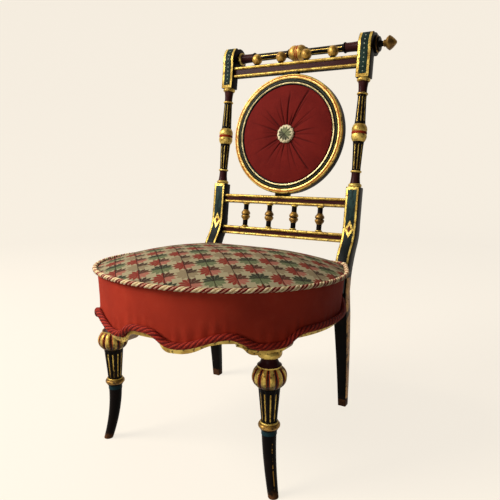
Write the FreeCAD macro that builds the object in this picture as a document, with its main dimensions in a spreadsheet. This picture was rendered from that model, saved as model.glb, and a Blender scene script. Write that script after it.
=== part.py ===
"""Boudoir chair with an ebonised, parcel-gilt frame, a round sprung seat and a padded medallion back.

Millimetres, +Z up, the sitter faces -Y, and the origin is on the floor under the middle of the chair's box.
Seat pieces are drawn about the middle of the seat rim and lean back with it.
Back pieces are drawn from the front of the stiles, at the top of their lower blocks, and rake with it.
"""
import FreeCAD
import Part
import Sketcher
import math
import os
from FreeCAD import Placement, Rotation, Vector

# Driving dimensions
SIZES = {
    # Round seat
    "seat_radius": 250, "seat_rim_height": 370, "seat_tilt": 2.9, "seat_crown": 41,
    "rail_inset": 9, "rail_thickness": 26, "rail_height": 56, "rail_top_drop": 35,
    "joint_angle": 39, "side_angle": 66, "leg_block_depth": 42,
    "scallop_drop": 21, "scallop_step": 5,
    "peak_angle": 4.5, "lobe_start_angle": 13, "lobe_end_angle": 16, "crest_angle": 36,
    "dip_start_angle": 48, "dip_end_angle": 58,
    "moulding_height": 8, "moulding_depth": 3,
    "cloth_thickness": 1.6, "soft_clearance": 0.3,
    "piping_diameter": 9, "rope_diameter": 12,
    "hessian_thickness": 1, "web_width": 50, "web_thickness": 1.5, "web_pitch": 66, "web_lift": 4,
    "dust_cover_thickness": 1,
    "spring_wire": 3.4, "spring_radius": 32, "spring_waist": 22,
    # Front legs
    "leg_inset": 12, "leg_angle": 53.6, "leg_tenon_diameter": 20, "leg_tenon_length": 26, "leg_recess": 1.6,
    "leg_collar_height": 11, "leg_collar_diameter": 40, "leg_collar_swell": 2,
    "leg_neck_height": 16, "leg_neck_diameter": 30, "leg_neck_foot_diameter": 41, "leg_neck_hollow": 2.5,
    "leg_fillet_height": 2, "leg_fillet_diameter": 43,
    "melon_height": 38, "melon_end_diameter": 37, "melon_swell": 12.5, "melon_groove": 2.2,
    "leg_taper_top_diameter": 39, "leg_taper_diameter": 28,
    "leg_ring_height": 15, "leg_ring_diameter": 30, "leg_ring_swell": 4,
    "leg_band_height": 9, "leg_band_diameter": 28,
    "sabre_height": 112, "sabre_sweep": 19, "sabre_top_diameter": 26.5, "sabre_foot_diameter": 19,
    # Rear legs and stiles
    "rake": 8.5, "stile_inset": 16.4, "stile_width": 32, "stile_depth": 28,
    "knee_drop": 78, "knee_gap": 9.6, "knee_depth": 30,
    "bend_rise": 33, "bend_lean": 6, "bend_depth": 30, "bend_front_swell": 6, "bend_rear_swell": 3,
    "sweep_rise": 65, "sweep_lean": 27.5, "sweep_depth": 36, "sweep_swell": 4,
    "block_rise": 51, "block_lean": 23.8, "square_block_length": 86,
    "foot_kick": 42, "rear_foot_depth": 18, "rear_foot_width": 19, "rear_leg_sweep": 5,
    "stile_collar_height": 8, "stile_collar_diameter": 27, "stile_collar_swell": 2,
    "stile_neck_height": 26, "stile_neck_diameter": 24, "stile_neck_waist_diameter": 20,
    "stile_ring_height": 4, "stile_ring_diameter": 24,
    "stile_shaft_diameter": 20, "stile_shaft_ball_diameter": 25,
    "stile_ball_height": 19, "stile_ball_diameter": 26, "stile_ball_swell": 5.5,
    "stile_band_height": 6, "stile_band_diameter": 31,
    "crest_rise": 56.2, "crest_setback": 36, "scroll_radius": 26, "scroll_neck_depth": 27,
    "upper_block_drop": 26.7, "block_round_drop": 24, "block_round_swell": 6,
    "block_top_lift": 21, "block_top_setback": 10,
    "stile_block_width": 27, "stile_block_top_drop": 37, "stile_block_height": 30,
    "screw_diameter": 6, "screw_head_diameter": 12, "screw_head_height": 4,
    "screw_bite": 20, "screw_pitch": 16,
    # Back rails and gallery
    "bead_setback": 4.5, "back_rail_depth": 17, "bead_height": 7, "bead_swell": 3, "rail_recess": 4.8,
    "top_rail_height": 27,
    "gallery_rail_height": 22, "gallery_top_drop": 26.2, "gallery_gap": 60,
    "spindle_spacing": 68.5, "spindle_axis_setback": 12,
    "spindle_shaft_diameter": 13, "spindle_ring_diameter": 16, "spindle_ring_height": 3,
    "spindle_lobe_height": 11, "spindle_lobe_diameter": 16, "spindle_lobe_swell": 4.2,
    "ball_foot_diameter": 11, "ball_foot_height": 3.5,
    "ball_base_diameter": 14, "ball_height": 23, "ball_swell": 6,
    # Crest rail and finials
    "crest_collar_length": 7, "crest_collar_diameter": 29, "crest_collar_swell": 1.5,
    "crest_end_length": 34, "crest_end_diameter": 24, "crest_end_waist_diameter": 22,
    "crest_ring_length": 4, "crest_ring_diameter": 24,
    "crest_shaft_diameter": 19, "crest_shaft_inner_diameter": 18,
    "bulb_collar_length": 3, "bulb_collar_diameter": 23,
    "bulb_half_length": 22, "bulb_end_diameter": 22, "bulb_swell": 4,
    "bulb_band_length": 8, "bulb_band_diameter": 34,
    "boss_length": 5, "boss_diameter": 40,
    "boss_ring_length": 4, "boss_ring_diameter": 31, "boss_ring_swell": 1.5,
    "finial_neck_length": 9, "finial_neck_diameter": 12,
    "finial_collar_length": 3, "finial_collar_diameter": 15,
    "bud_base_diameter": 13, "bud_shoulder_length": 10, "bud_shoulder_swell": 1.5, "bud_diameter": 33,
    "bud_cone_length": 16, "bud_cone_swell": 1.5, "bud_tip_diameter": 5,
    # Medallion
    "medallion_gap": 20, "medallion_depth": 23, "medallion_front_lead": 0.5,
    "medallion_edge_round": 4, "medallion_channel": 3, "medallion_fillet_drop": 1.2, "medallion_cove": 8,
    "medallion_rebate": 8, "board_thickness": 6, "back_cover_thickness": 1.2,
    "pad_edge": 7, "pad_swell": 9, "pad_seat_lead": 11, "pad_pleat": 1.6,
    "button_diameter": 46, "button_edge": 3, "button_swell": 5.5,
    "saddle_height": 4.7, "saddle_width": 36, "saddle_depth": 16, "overrun": 10,
}

# Counts
GADROONS = 12
PLEATS = 20
SPRING_CURLS = 4
SPRING_RING = 5
WEBS = 4

# Seat plan, as shares of its radius: a round front, straight sides, rounded rear corners and a bowed back
SEAT_STRAIGHT_ANGLE = 112
SEAT_CORNER_TURN = 62
SEAT_STRAIGHT_SHARE = 0.35
SEAT_CORNER_SHARE = 0.08

# Ring of springs, as a share of the space between the rails
SPRING_CIRCLE_SHARE = 0.55

# Dome of the seat, as shares of its radius and of its crown
CROWN_RADIUS_SHARES = (0.999, 0.86, 0.62, 0.35, 0.12)
CROWN_RISE_SHARES = (0.0, 0.29, 0.65, 0.9, 0.99)

# Steepest curve of the scalloped edge, as a share of the way to level ends
STEEP_OGEE_SHARE = 0.5

# Shallow curves, as shares of the swell or depth that they ease
SADDLE_SWELL_SHARE = 0.25
COVE_HOLLOW_SHARE = 0.17
BUTTON_BOW_SHARE = 0.25

# Ring mouldings of the medallion, as shares of its radius from the rim inwards
GILT_SHARE = 0.92
CHANNEL_SHARE = 0.866
FILLET_SHARE = 0.836
COVE_SHARE = 0.812
OPENING_SHARE = 0.8
REBATE_SHARE = 0.86
PAD_SHARE = 0.795
PAD_SEAT_SHARE = 0.2

# Sweep of the sabre feet, as shares of their height, sweep and taper
SABRE_HEIGHT_SHARES = (1.0, 0.7, 0.4, 0.0)
SABRE_SWEEP_SHARES = (0.0, 0.14, 0.46, 1.0)
SABRE_TAPER_SHARES = (0.0, 0.3, 0.62, 1.0)


class Size:
    """A named size, or a sum of named sizes, kept both as a number and as a sheet expression."""

    def __init__(self, text, value):
        self.text = text
        self.value = value

    def __add__(self, other):
        return joined(self, "+", other)

    def __radd__(self, other):
        return joined(other, "+", self)

    def __sub__(self, other):
        return joined(self, "-", other)

    def __rsub__(self, other):
        return joined(other, "-", self)

    def __mul__(self, other):
        return joined(self, "*", other)

    def __rmul__(self, other):
        return joined(other, "*", self)

    def __truediv__(self, other):
        return joined(self, "/", other)

    def __neg__(self):
        return joined(self, "*", -1)


def as_size(number):
    """A Size as it is, or a plain count or share as one."""
    if isinstance(number, Size):
        return number
    return Size("(%r)" % number, number)


def joined(left, sign, right):
    """Two sizes joined by an arithmetic sign."""
    left = as_size(left)
    right = as_size(right)
    if sign == "+":
        value = left.value + right.value
    elif sign == "-":
        value = left.value - right.value
    elif sign == "*":
        value = left.value * right.value
    else:
        value = left.value / right.value
    return Size("(%s %s %s)" % (left.text, sign, right.text), value)


def sine(angle):
    """Sine of an angle in degrees."""
    return Size("sin(%s)" % angle.text, math.sin(math.radians(angle.value)))


def cosine(angle):
    """Cosine of an angle in degrees."""
    return Size("cos(%s)" % angle.text, math.cos(math.radians(angle.value)))


def tangent(angle):
    """Tangent of an angle in degrees."""
    return Size("tan(%s)" % angle.text, math.tan(math.radians(angle.value)))


def arctangent(slope):
    """Angle in degrees of a slope."""
    return Size("atan(%s)" % slope.text, math.degrees(math.atan(slope.value)))


def root(area):
    """Square root of an area."""
    return Size("sqrt(%s)" % area.text, math.sqrt(area.value))


doc = FreeCAD.newDocument("boudoir_chair")
sheet = doc.addObject("Spreadsheet::Sheet", "sizes")
for row, (alias, number) in enumerate(SIZES.items(), start=1):
    sheet.set("A%d" % row, alias)
    sheet.set("B%d" % row, str(number))
    sheet.setAlias("B%d" % row, alias)
doc.recompute()

nodes = {}
derived = {}


def size(alias):
    """A driving dimension of the sheet, or one that was worked out from several."""
    if alias in derived:
        return derived[alias]
    return Size("sizes." + alias, float(SIZES[alias]))


def plan_shares():
    """Shares of the seat plan: ends of its round front and straight side, and start of its bowed back."""
    turn = math.radians(SEAT_STRAIGHT_ANGLE)
    after = math.radians(SEAT_STRAIGHT_ANGLE + SEAT_CORNER_TURN)
    round_end = (math.sin(turn), -math.cos(turn))
    side_end = (
        round_end[0] + SEAT_STRAIGHT_SHARE * math.cos(turn),
        round_end[1] + SEAT_STRAIGHT_SHARE * math.sin(turn),
    )
    middle = (
        side_end[0] - SEAT_CORNER_SHARE * math.sin(turn),
        side_end[1] + SEAT_CORNER_SHARE * math.cos(turn),
    )
    back_end = (
        middle[0] + SEAT_CORNER_SHARE * math.sin(after),
        middle[1] - SEAT_CORNER_SHARE * math.cos(after),
    )
    return round_end, side_end, back_end


ROUND_END_SHARES, SIDE_END_SHARES, BACK_END_SHARES = plan_shares()
CORNER_SWELL_SHARE = SEAT_CORNER_SHARE * (1 - math.cos(math.radians(SEAT_CORNER_TURN / 2)))
BACK_TURN = 180 - SEAT_STRAIGHT_ANGLE - SEAT_CORNER_TURN
BACK_SWELL_SHARE = BACK_END_SHARES[0] * math.tan(math.radians(BACK_TURN / 2))


NONE = Size("0", 0.0)
RIGHT_ANGLE = as_size(90)

# Sizes that follow from others: the seat sets the frame and the back's width, and so the back's height
derived["rail_radius"] = size("seat_radius") - size("rail_inset")
derived["leg_circle"] = size("rail_radius") - size("leg_inset")
derived["stile_spacing"] = (size("seat_radius") * SIDE_END_SHARES[0] - size("stile_inset")) * 2
derived["medallion_radius"] = (size("stile_spacing") - size("stile_width")) / 2 - size("medallion_gap")
derived["top_rail_lift"] = (size("medallion_radius") + size("saddle_height")) * 2 - size("gallery_top_drop")
derived["turning_length"] = size("top_rail_lift") - size("upper_block_drop")
derived["crest_lift"] = size("top_rail_lift") + size("crest_rise")
derived["knee_setback"] = size("seat_radius") * BACK_END_SHARES[1] + size("knee_gap")
derived["knee_height"] = size("seat_rim_height") - size("knee_drop")
derived["bend_setback"] = size("knee_setback") + size("bend_lean")
derived["bend_height"] = size("knee_height") + size("bend_rise")
derived["sweep_setback"] = size("bend_setback") + size("sweep_lean")
derived["sweep_height"] = size("bend_height") + size("sweep_rise")
block_reach = size("block_lean") + size("square_block_length") * sine(size("rake"))
block_climb = size("block_rise") + size("square_block_length") * cosine(size("rake"))
derived["back_setback"] = size("sweep_setback") + block_reach
derived["back_height"] = size("sweep_height") + block_climb
derived["rear_foot_setback"] = size("knee_setback") + size("foot_kick")

# Places that several pieces share
crest_reach = size("crest_setback") * cosine(size("rake")) + size("crest_lift") * sine(size("rake"))
rear_reach = size("back_setback") + crest_reach + size("scroll_radius")
piping_standoff = size("soft_clearance") + size("piping_diameter") / 2
front_rim = (size("seat_radius") + piping_standoff) * cosine(size("seat_tilt"))
front_reach = front_rim + size("piping_diameter") / 2
seat_place = (front_reach - rear_reach) / 2
back_place = seat_place + size("back_setback")
stile_inner = (size("stile_spacing") - size("stile_width")) / 2
stile_outer = (size("stile_spacing") + size("stile_width")) / 2
gallery_foot = -size("gallery_top_drop") - size("gallery_rail_height") * 2 - size("gallery_gap")
medallion_lift = (size("top_rail_lift") - size("gallery_top_drop")) / 2
rail_bottom = -size("rail_top_drop") - size("rail_height")
apron_low = rail_bottom - size("scallop_drop")


# Drawing helpers


def bind(thing, path, amount):
    """Tie a property of an object to a size."""
    thing.setExpression(path, amount.text)


def place(thing, x, y, z, axis=Vector(0, 0, 1), angle=NONE):
    """Put an object at a point, turned about an axis."""
    thing.Placement = Placement(Vector(x.value, y.value, z.value), Rotation(axis, angle.value))
    bind(thing, "Placement.Base.x", x)
    bind(thing, "Placement.Base.y", y)
    bind(thing, "Placement.Base.z", z)
    if angle is not NONE:
        bind(thing, "Placement.Rotation.Angle", angle)


def place_seat(thing):
    """Put a piece drawn about the middle of the seat rim where the seat is."""
    place(thing, NONE, seat_place, size("seat_rim_height"), Vector(1, 0, 0), -size("seat_tilt"))


def seat_point(x, y, z):
    """Place on the chair of a point drawn about the middle of the seat rim."""
    tilt = size("seat_tilt")
    height = size("seat_rim_height") + z * cosine(tilt) - y * sine(tilt)
    return x, seat_place + y * cosine(tilt) + z * sine(tilt), height


def place_back(thing, x=NONE, setback=NONE, lift=NONE):
    """Put a piece drawn about its own middle on the raked back."""
    rake = size("rake")
    y = back_place + setback * cosine(rake) + lift * sine(rake)
    z = size("back_height") - setback * sine(rake) + lift * cosine(rake)
    place(thing, x, y, z, Vector(1, 0, 0), -rake)


def on_back(setback, height):
    """Raked place of a point given by its setback from the seat's middle and its height."""
    rake = size("rake")
    away = setback - size("back_setback")
    up = height - size("back_height")
    return away * cosine(rake) - up * sine(rake), away * sine(rake) + up * cosine(rake)


def new_body(name):
    """A body that holds one piece."""
    return doc.addObject("PartDesign::Body", name)


def new_sketch(body, name, role, lift=None):
    """A sketch on one of the body's own planes, lifted along the plane's normal."""
    sketch = body.newObject("Sketcher::SketchObject", name)
    plane = [part for part in body.Origin.OriginFeatures if part.Role == role][0]
    sketch.AttachmentSupport = [(plane, "")]
    sketch.MapMode = "FlatFace"
    if lift is not None:
        bind(sketch, "AttachmentOffset.Base.z", lift)
    return sketch


def pin(sketch, geometry, end, u, v):
    """Fix a point of a sketch by two sizes."""
    for kind, amount in (("DistanceX", u), ("DistanceY", v)):
        index = sketch.addConstraint(Sketcher.Constraint(kind, geometry, end, amount.value))
        bind(sketch, "Constraints[%d]" % index, amount)


def outline(body, name, role, corners, lift=None):
    """A closed outline of corners (u, v) or (u, v, swell).

    An arc swells to the right of the way to the next corner.
    """
    sketch = new_sketch(body, name, role, lift)
    count = len(corners)
    ends = []
    radii = []
    for index, corner in enumerate(corners):
        u, v = as_size(corner[0]), as_size(corner[1])
        after = corners[(index + 1) % count]
        u_next, v_next = as_size(after[0]), as_size(after[1])
        start = Vector(u.value, v.value, 0)
        finish = Vector(u_next.value, v_next.value, 0)
        if len(corner) < 3:
            sketch.addGeometry(Part.LineSegment(start, finish), False)
            ends.append((1, 2))
            continue
        swell = corner[2]
        way = finish - start
        side = Vector(way.y, -way.x, 0).normalize()
        middle = (start + finish) * 0.5 + side * swell.value
        forward = swell.value > 0
        arc = Part.Arc(start, middle, finish) if forward else Part.Arc(finish, middle, start)
        number = sketch.addGeometry(arc, False)
        ends.append((1, 2) if forward else (2, 1))
        span = (u_next - u) * (u_next - u) + (v_next - v) * (v_next - v)
        radius = (span / 4 + swell * swell) / (swell * math.copysign(2, swell.value))
        radii.append((number, radius))
    for index in range(count):
        after = (index + 1) % count
        sketch.addConstraint(Sketcher.Constraint("Coincident", index, ends[index][1], after, ends[after][0]))
    for index, corner in enumerate(corners):
        pin(sketch, index, ends[index][0], as_size(corner[0]), as_size(corner[1]))
    for number, radius in radii:
        index = sketch.addConstraint(Sketcher.Constraint("Radius", number, radius.value))
        bind(sketch, "Constraints[%d]" % index, radius)
    return sketch


def disc(body, name, role, u, v, radius, lift=None):
    """A circle outline."""
    sketch = new_sketch(body, name, role, lift)
    sketch.addGeometry(Part.Circle(Vector(u.value, v.value, 0), Vector(0, 0, 1), radius.value), False)
    index = sketch.addConstraint(Sketcher.Constraint("Radius", 0, radius.value))
    bind(sketch, "Constraints[%d]" % index, radius)
    pin(sketch, 0, 3, u, v)
    return sketch


def upright_axis(sketch, u, reach):
    """Add an upright construction line, the first axis of a sketch, at a distance from its middle."""
    line = Part.LineSegment(Vector(u.value, 0, 0), Vector(u.value, reach.value, 0))
    number = sketch.addGeometry(line, True)
    pin(sketch, number, 1, u, NONE)
    pin(sketch, number, 2, u, reach)


def pad(body, sketch, length, symmetric=False, reverse=False):
    """Pad an outline into a solid."""
    feature = body.newObject("PartDesign::Pad", sketch.Name + "_pad")
    feature.Profile = sketch
    feature.SideType = "Symmetric" if symmetric else "One side"
    feature.Reversed = reverse
    bind(feature, "Length", length)
    return feature


def pocket(body, sketch, length, symmetric=False, reverse=False):
    """Cut an outline out of a solid, and make sure that it took something away."""
    doc.recompute()
    before = body.Shape.Volume
    feature = body.newObject("PartDesign::Pocket", sketch.Name + "_pocket")
    feature.Profile = sketch
    feature.SideType = "Symmetric" if symmetric else "One side"
    feature.Reversed = reverse
    bind(feature, "Length", length)
    doc.recompute()
    if body.Shape.Volume >= before:
        raise RuntimeError("%s cuts nothing" % sketch.Name)
    return feature


def revolve(body, sketch, axis="V_Axis"):
    """Turn an outline about an axis of its sketch."""
    feature = body.newObject("PartDesign::Revolution", sketch.Name + "_turned")
    feature.Profile = sketch
    feature.ReferenceAxis = (sketch, [axis])
    feature.Angle = 360
    return feature


def loft(body, name, sketches, ruled=False, cut=False):
    """A solid, or a cut, through several outlines."""
    kind = "PartDesign::SubtractiveLoft" if cut else "PartDesign::AdditiveLoft"
    feature = body.newObject(kind, name)
    feature.Profile = sketches[0]
    feature.Sections = sketches[1:]
    feature.Ruled = ruled
    return feature


def keep(thing, label):
    """Name an object as a finished piece."""
    thing.Label = label
    nodes[label] = thing


def cut(name, base, tool):
    """One object less another."""
    feature = doc.addObject("Part::Cut", name)
    feature.Base = base
    feature.Tool = tool
    return feature


def meets(first, second):
    """Whether two corners of an outline are at one spot."""
    return abs(first[0].value - second[0].value) + abs(first[1].value - second[1].value) < 1e-6


def half_diameters(*starts):
    """Half of each diameter whose name has one of these starts, by the rest of its name."""
    names = [alias[:-len("_diameter")] for alias in SIZES if alias.endswith("_diameter")]
    return {name: size(name + "_diameter") / 2 for name in names if name.startswith(starts)}


def stacked(start, pieces):
    """Corners of a turning from its (length, first radius, last radius, swell) pieces, one after another."""
    corners = [(NONE, start)]
    at = start
    for length, first, last, *swell in pieces:
        after = at + length
        for corner in ((first, at, *swell), (last, after)):
            if meets(corners[-1], corner):
                corners.pop()
            corners.append(corner)
        at = after
    if corners[-1][0].value > 1e-6:
        corners.append((NONE, at))
    return corners


def turning(body, name, start, pieces, across=NONE):
    """Half outline of an upright turning, with its axis at a distance from the plane's middle."""
    corners = [(across + corner[0], *corner[1:]) for corner in stacked(start, pieces)]
    sketch = outline(body, name, "YZ_Plane", corners)
    if across is NONE:
        return revolve(body, sketch)
    upright_axis(sketch, across, size("overrun"))
    return revolve(body, sketch, "Axis0")


def lying(corners):
    """Corners of an upright turning laid along X."""
    return [(corner[1], corner[0], *[-swell for swell in corner[2:]]) for corner in corners]


def meridian_grooves(body, name, role, axis, count, reach, lift, bow, groove, turn):
    """Round grooves that follow the swell of a turning, evenly about its axis.

    The swell has the radius bow, and its middle is at reach in the sketch and at lift along its normal.
    """
    sketch = disc(body, name, role, reach + bow, NONE, groove, lift)
    upright_axis(sketch, reach, size("overrun"))
    feature = body.newObject("PartDesign::Groove", name + "_groove")
    feature.Profile = sketch
    feature.ReferenceAxis = (sketch, ["Axis0"])
    feature.Midplane = True
    bind(feature, "Angle", turn)
    doc.recompute()
    pattern = body.newObject("PartDesign::PolarPattern", name + "_pattern")
    pattern.Originals = [feature]
    pattern.Axis = axis
    pattern.Angle = 360
    pattern.Occurrences = count
    body.Tip = pattern


# Seat plan


def bow(radius, angle):
    """Swell of an arc of a radius over an angle."""
    return radius * (1 - cosine(angle / 2))


def round_point(radius, angle, side=1):
    """Point of a circle about the middle, at an angle from the front."""
    return radius * sine(angle) * side, -(radius * cosine(angle))


def shared(radius, shares, side=1):
    """Point of the plan at shares of its radius."""
    return radius * (shares[0] * side), radius * shares[1]


def seat_corners(radius):
    """The whole seat plan, anticlockwise from the front."""
    front = as_size(SEAT_STRAIGHT_ANGLE)
    swell = bow(radius, front)
    return [
        (NONE, -radius, swell),
        shared(radius, ROUND_END_SHARES),
        (*shared(radius, SIDE_END_SHARES), radius * CORNER_SWELL_SHARE),
        (*shared(radius, BACK_END_SHARES), radius * BACK_SWELL_SHARE),
        (*shared(radius, BACK_END_SHARES, -1), radius * CORNER_SWELL_SHARE),
        shared(radius, SIDE_END_SHARES, -1),
        (*shared(radius, ROUND_END_SHARES, -1), swell),
    ]


def seat_plan(body, name, radius, lift):
    """Outline of the seat plan at a height from the rim."""
    return outline(body, name, "XY_Plane", seat_corners(radius), lift)


def sector(body, name, inner, outer, start, finish, lift, side=1):
    """Plan of a curved piece between two radii and two angles, on the right or, with side -1, the left."""
    span = finish - start
    return outline(body, name, "XY_Plane", [
        (*round_point(outer, start, side), bow(outer, span) * side),
        round_point(outer, finish, side),
        (*round_point(inner, finish, side), -(bow(inner, span) * side)),
        round_point(inner, start, side),
    ], lift)


def side_plan(body, name, inner, outer, start, lift, side):
    """Plan of a curved side piece that runs on straight and round the rear corner."""
    span = SEAT_STRAIGHT_ANGLE - start
    return outline(body, name, "XY_Plane", [
        (*round_point(outer, start, side), bow(outer, span) * side),
        shared(outer, ROUND_END_SHARES, side),
        (*shared(outer, SIDE_END_SHARES, side), outer * (CORNER_SWELL_SHARE * side)),
        shared(outer, BACK_END_SHARES, side),
        (*shared(inner, BACK_END_SHARES, side), inner * (-CORNER_SWELL_SHARE * side)),
        shared(inner, SIDE_END_SHARES, side),
        (*shared(inner, ROUND_END_SHARES, side), -(bow(inner, span) * side)),
        round_point(inner, start, side),
    ], lift)


# Scalloped lower edge of the seat frame


def ogee(start, finish, level_share=1.0):
    """Corners of a double curve, level at both ends, or for a steep one only a share of the way to level."""
    across = finish[0] - start[0]
    rise = finish[1] - start[1]
    middle = (start[0] + across / 2, start[1] + rise / 2)
    swell = root(across * across + rise * rise) / 4 * tangent(arctangent(rise / across) * level_share / 2)
    return [(*start, swell), (*middle, -swell)]


def across_front(alias):
    """Distance from the middle plane of an angle on the seat frame."""
    return size("rail_radius") * sine(size(alias))


def front_edge(lift):
    """Lower edge of the front rail from left to right."""
    high = rail_bottom + lift
    low = apron_low + lift
    joint, crest = across_front("joint_angle"), across_front("crest_angle")
    lobe_end, lobe = across_front("lobe_end_angle"), across_front("lobe_start_angle")
    peak = across_front("peak_angle")
    return [
        (-joint - size("overrun"), high),
        *ogee((-crest, high), (-lobe_end, low)),
        (-lobe_end, low),
        *ogee((-lobe, low), (-peak, high)),
        (-peak, high),
        *ogee((peak, high), (lobe, low)),
        (lobe, low),
        *ogee((lobe_end, low), (crest, high)),
        (crest, high),
        (joint + size("overrun"), high),
    ]


def leg_edge(lift):
    """Lower edge over a front leg, from the front joint outwards."""
    step = rail_bottom - size("scallop_step") + lift
    low = apron_low + lift
    high = rail_bottom + lift
    inner = across_front("joint_angle")
    far = across_front("side_angle")
    dip, dip_end = across_front("dip_start_angle"), across_front("dip_end_angle")
    return [
        (inner - size("leg_block_depth"), step),
        *ogee((inner, step), (dip, low)),
        (dip, low),
        *ogee((dip_end, low), (far, high), STEEP_OGEE_SHARE),
        (far, high),
        (size("rail_radius") + size("overrun") * 2, high),
    ]


def mirrored(corners):
    """Open run of corners on the other side of the middle plane, in the opposite order."""
    turned = []
    for index in range(len(corners) - 1, -1, -1):
        swell = corners[index - 1][2:] if index > 0 else ()
        turned.append((-corners[index][0], corners[index][1], *swell))
    return turned


def trim_below(body, name, edge, reach):
    """Cut away what lies below a lower edge, in front of the middle of the seat."""
    floor = apron_low - size("overrun")
    corners = [*edge, (edge[-1][0], floor), (edge[0][0], floor)]
    pocket(body, outline(body, name, "XZ_Plane", corners), reach, reverse=True)


def trim_above(body, name, edge, reach):
    """Cut away what lies above an edge, in front of the middle of the seat."""
    top = size("overrun")
    corners = [*edge, (edge[-1][0], top), (edge[0][0], top)]
    pocket(body, outline(body, name, "XZ_Plane", corners), reach, reverse=True)


SIDES = (("left", -1), ("right", 1))
frame_reach = size("seat_radius") + size("overrun")
rail_inner = size("rail_radius") - size("rail_thickness")
moulding_outer = size("rail_radius") + size("moulding_depth")


def front_rail():
    """Curved front rail with a scalloped lower edge."""
    body = new_body("front_rail_body")
    joint = size("joint_angle")
    sketch = sector(body, "front_rail_plan", rail_inner, size("rail_radius"), -joint, joint, apron_low)
    pad(body, sketch, size("rail_height") + size("scallop_drop"))
    trim_below(body, "front_rail_edge", front_edge(NONE), frame_reach)
    place_seat(body)
    keep(body, "front_rail")


def leg_socket(side):
    """Space that a front leg's tenon and collar take in its block."""
    x, y = leg_axis(side)
    tenon = doc.addObject("Part::Cylinder", "leg_tenon_space")
    bind(tenon, "Radius", size("leg_tenon_diameter") / 2)
    bind(tenon, "Height", size("leg_tenon_length"))
    place(tenon, x, y, leg_height)
    collar = doc.addObject("Part::Cylinder", "leg_collar_space")
    bind(collar, "Radius", size("leg_collar_diameter") / 2 + size("leg_collar_swell"))
    bind(collar, "Height", size("leg_collar_height"))
    place(collar, x, y, leg_height - size("leg_collar_height"))
    space = doc.addObject("Part::Fuse", "leg_space")
    space.Base = tenon
    space.Tool = collar
    return space


def leg_axis(side):
    """Place of a front leg's axis on the floor."""
    x, y = round_point(size("leg_circle"), size("leg_angle"), side)
    return x, seat_place + y


leg_underside = seat_point(NONE, -(size("leg_circle") * cosine(size("leg_angle"))), apron_low)[2]
leg_height = leg_underside + size("leg_recess")


def leg_block(name, side):
    """Block of the seat frame over a front leg, hollowed for the leg's tenon and collar."""
    body = new_body(name + "_leg_block_body")
    inner = size("rail_radius") - size("leg_block_depth")
    ends = (size("joint_angle"), size("side_angle"))
    sketch = sector(body, name + "_leg_block_plan", inner, size("rail_radius"), *ends, apron_low, side)
    pad(body, sketch, size("rail_height") + size("scallop_drop"))
    edge = leg_edge(NONE)
    trim_below(body, name + "_leg_block_edge", edge if side > 0 else mirrored(edge), frame_reach)
    place_seat(body)
    keep(cut(name + "_leg_block_socketed", body, leg_socket(side)), name + "_leg_block")


def side_rail(name, side, stile, screws):
    """Curved side rail with the stub that meets the stile."""
    body = new_body(name + "_side_rail_body")
    outer = size("rail_radius")
    label = name + "_side_rail_plan"
    sketch = side_plan(body, label, rail_inner, outer, size("side_angle"), rail_bottom, side)
    pad(body, sketch, size("rail_height"))
    place_seat(body)
    stub = doc.addObject("Part::Box", name + "_stub")
    bind(stub, "Length", size("stile_block_width"))
    bind(stub, "Width", size("knee_setback") + size("knee_depth") / 2 - outer * SIDE_END_SHARES[1])
    bind(stub, "Height", size("stile_block_height"))
    x = size("stile_spacing") * (side / 2) - size("stile_block_width") / 2
    drop = -size("stile_block_top_drop") - size("stile_block_height")
    place(stub, *seat_point(x, outer * SIDE_END_SHARES[1], drop), Vector(1, 0, 0), -size("seat_tilt"))
    rail = doc.addObject("Part::Fuse", name + "_stubbed_rail")
    rail.Base = body
    rail.Tool = cut(name + "_fitted_stub", stub, stile)
    keep(cut(name + "_bored_rail", rail, screws), name + "_side_rail")
    return rail


def back_rail(side_rails):
    """Bowed back rail between the ends of the side rails, notched round their stubs."""
    body = new_body("back_seat_rail_body")
    outer = size("rail_radius")
    sketch = outline(body, "back_seat_rail_plan", "XY_Plane", [
        (*shared(outer, BACK_END_SHARES), outer * BACK_SWELL_SHARE),
        shared(outer, BACK_END_SHARES, -1),
        (*shared(rail_inner, BACK_END_SHARES, -1), rail_inner * -BACK_SWELL_SHARE),
        shared(rail_inner, BACK_END_SHARES),
    ], rail_bottom)
    pad(body, sketch, size("rail_height"))
    place_seat(body)
    ends = doc.addObject("Part::Compound", "side_rail_ends")
    ends.Links = side_rails
    keep(cut("back_seat_rail_notched", body, ends), "back_seat_rail")


def front_moulding():
    """Gilt moulding along the scalloped front."""
    body = new_body("front_moulding_body")
    joint = size("joint_angle")
    inner = size("rail_radius")
    sketch = sector(body, "front_moulding_plan", inner, moulding_outer, -joint, joint, apron_low)
    pad(body, sketch, size("scallop_drop") + size("moulding_height"))
    trim_below(body, "front_moulding_edge", front_edge(NONE), frame_reach)
    trim_above(body, "front_moulding_top", front_edge(size("moulding_height")), frame_reach)
    place_seat(body)
    keep(body, "front_apron_moulding")


def side_moulding(name, side):
    """Gilt moulding over a front leg and along the side as far as the stile."""
    body = new_body(name + "_moulding_body")
    start = size("joint_angle")
    label = name + "_moulding_plan"
    sketch = side_plan(body, label, size("rail_radius"), moulding_outer, start, apron_low, side)
    pad(body, sketch, size("scallop_drop") + size("moulding_height"))
    for label, lift, trim in (("edge", NONE, trim_below), ("top", size("moulding_height"), trim_above)):
        edge = leg_edge(lift)
        trim(body, "%s_moulding_%s" % (name, label), edge if side > 0 else mirrored(edge), frame_reach)
    level = outline(body, name + "_moulding_rear", "XZ_Plane", [
        (-frame_reach, rail_bottom), (-frame_reach, apron_low - size("overrun")),
        (frame_reach, apron_low - size("overrun")), (frame_reach, rail_bottom),
    ])
    pocket(body, level, frame_reach)
    place_seat(body)
    keep(cut(name + "_moulding_fitted", body, leg_socket(side)), name + "_apron_moulding")


# Front legs


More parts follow.
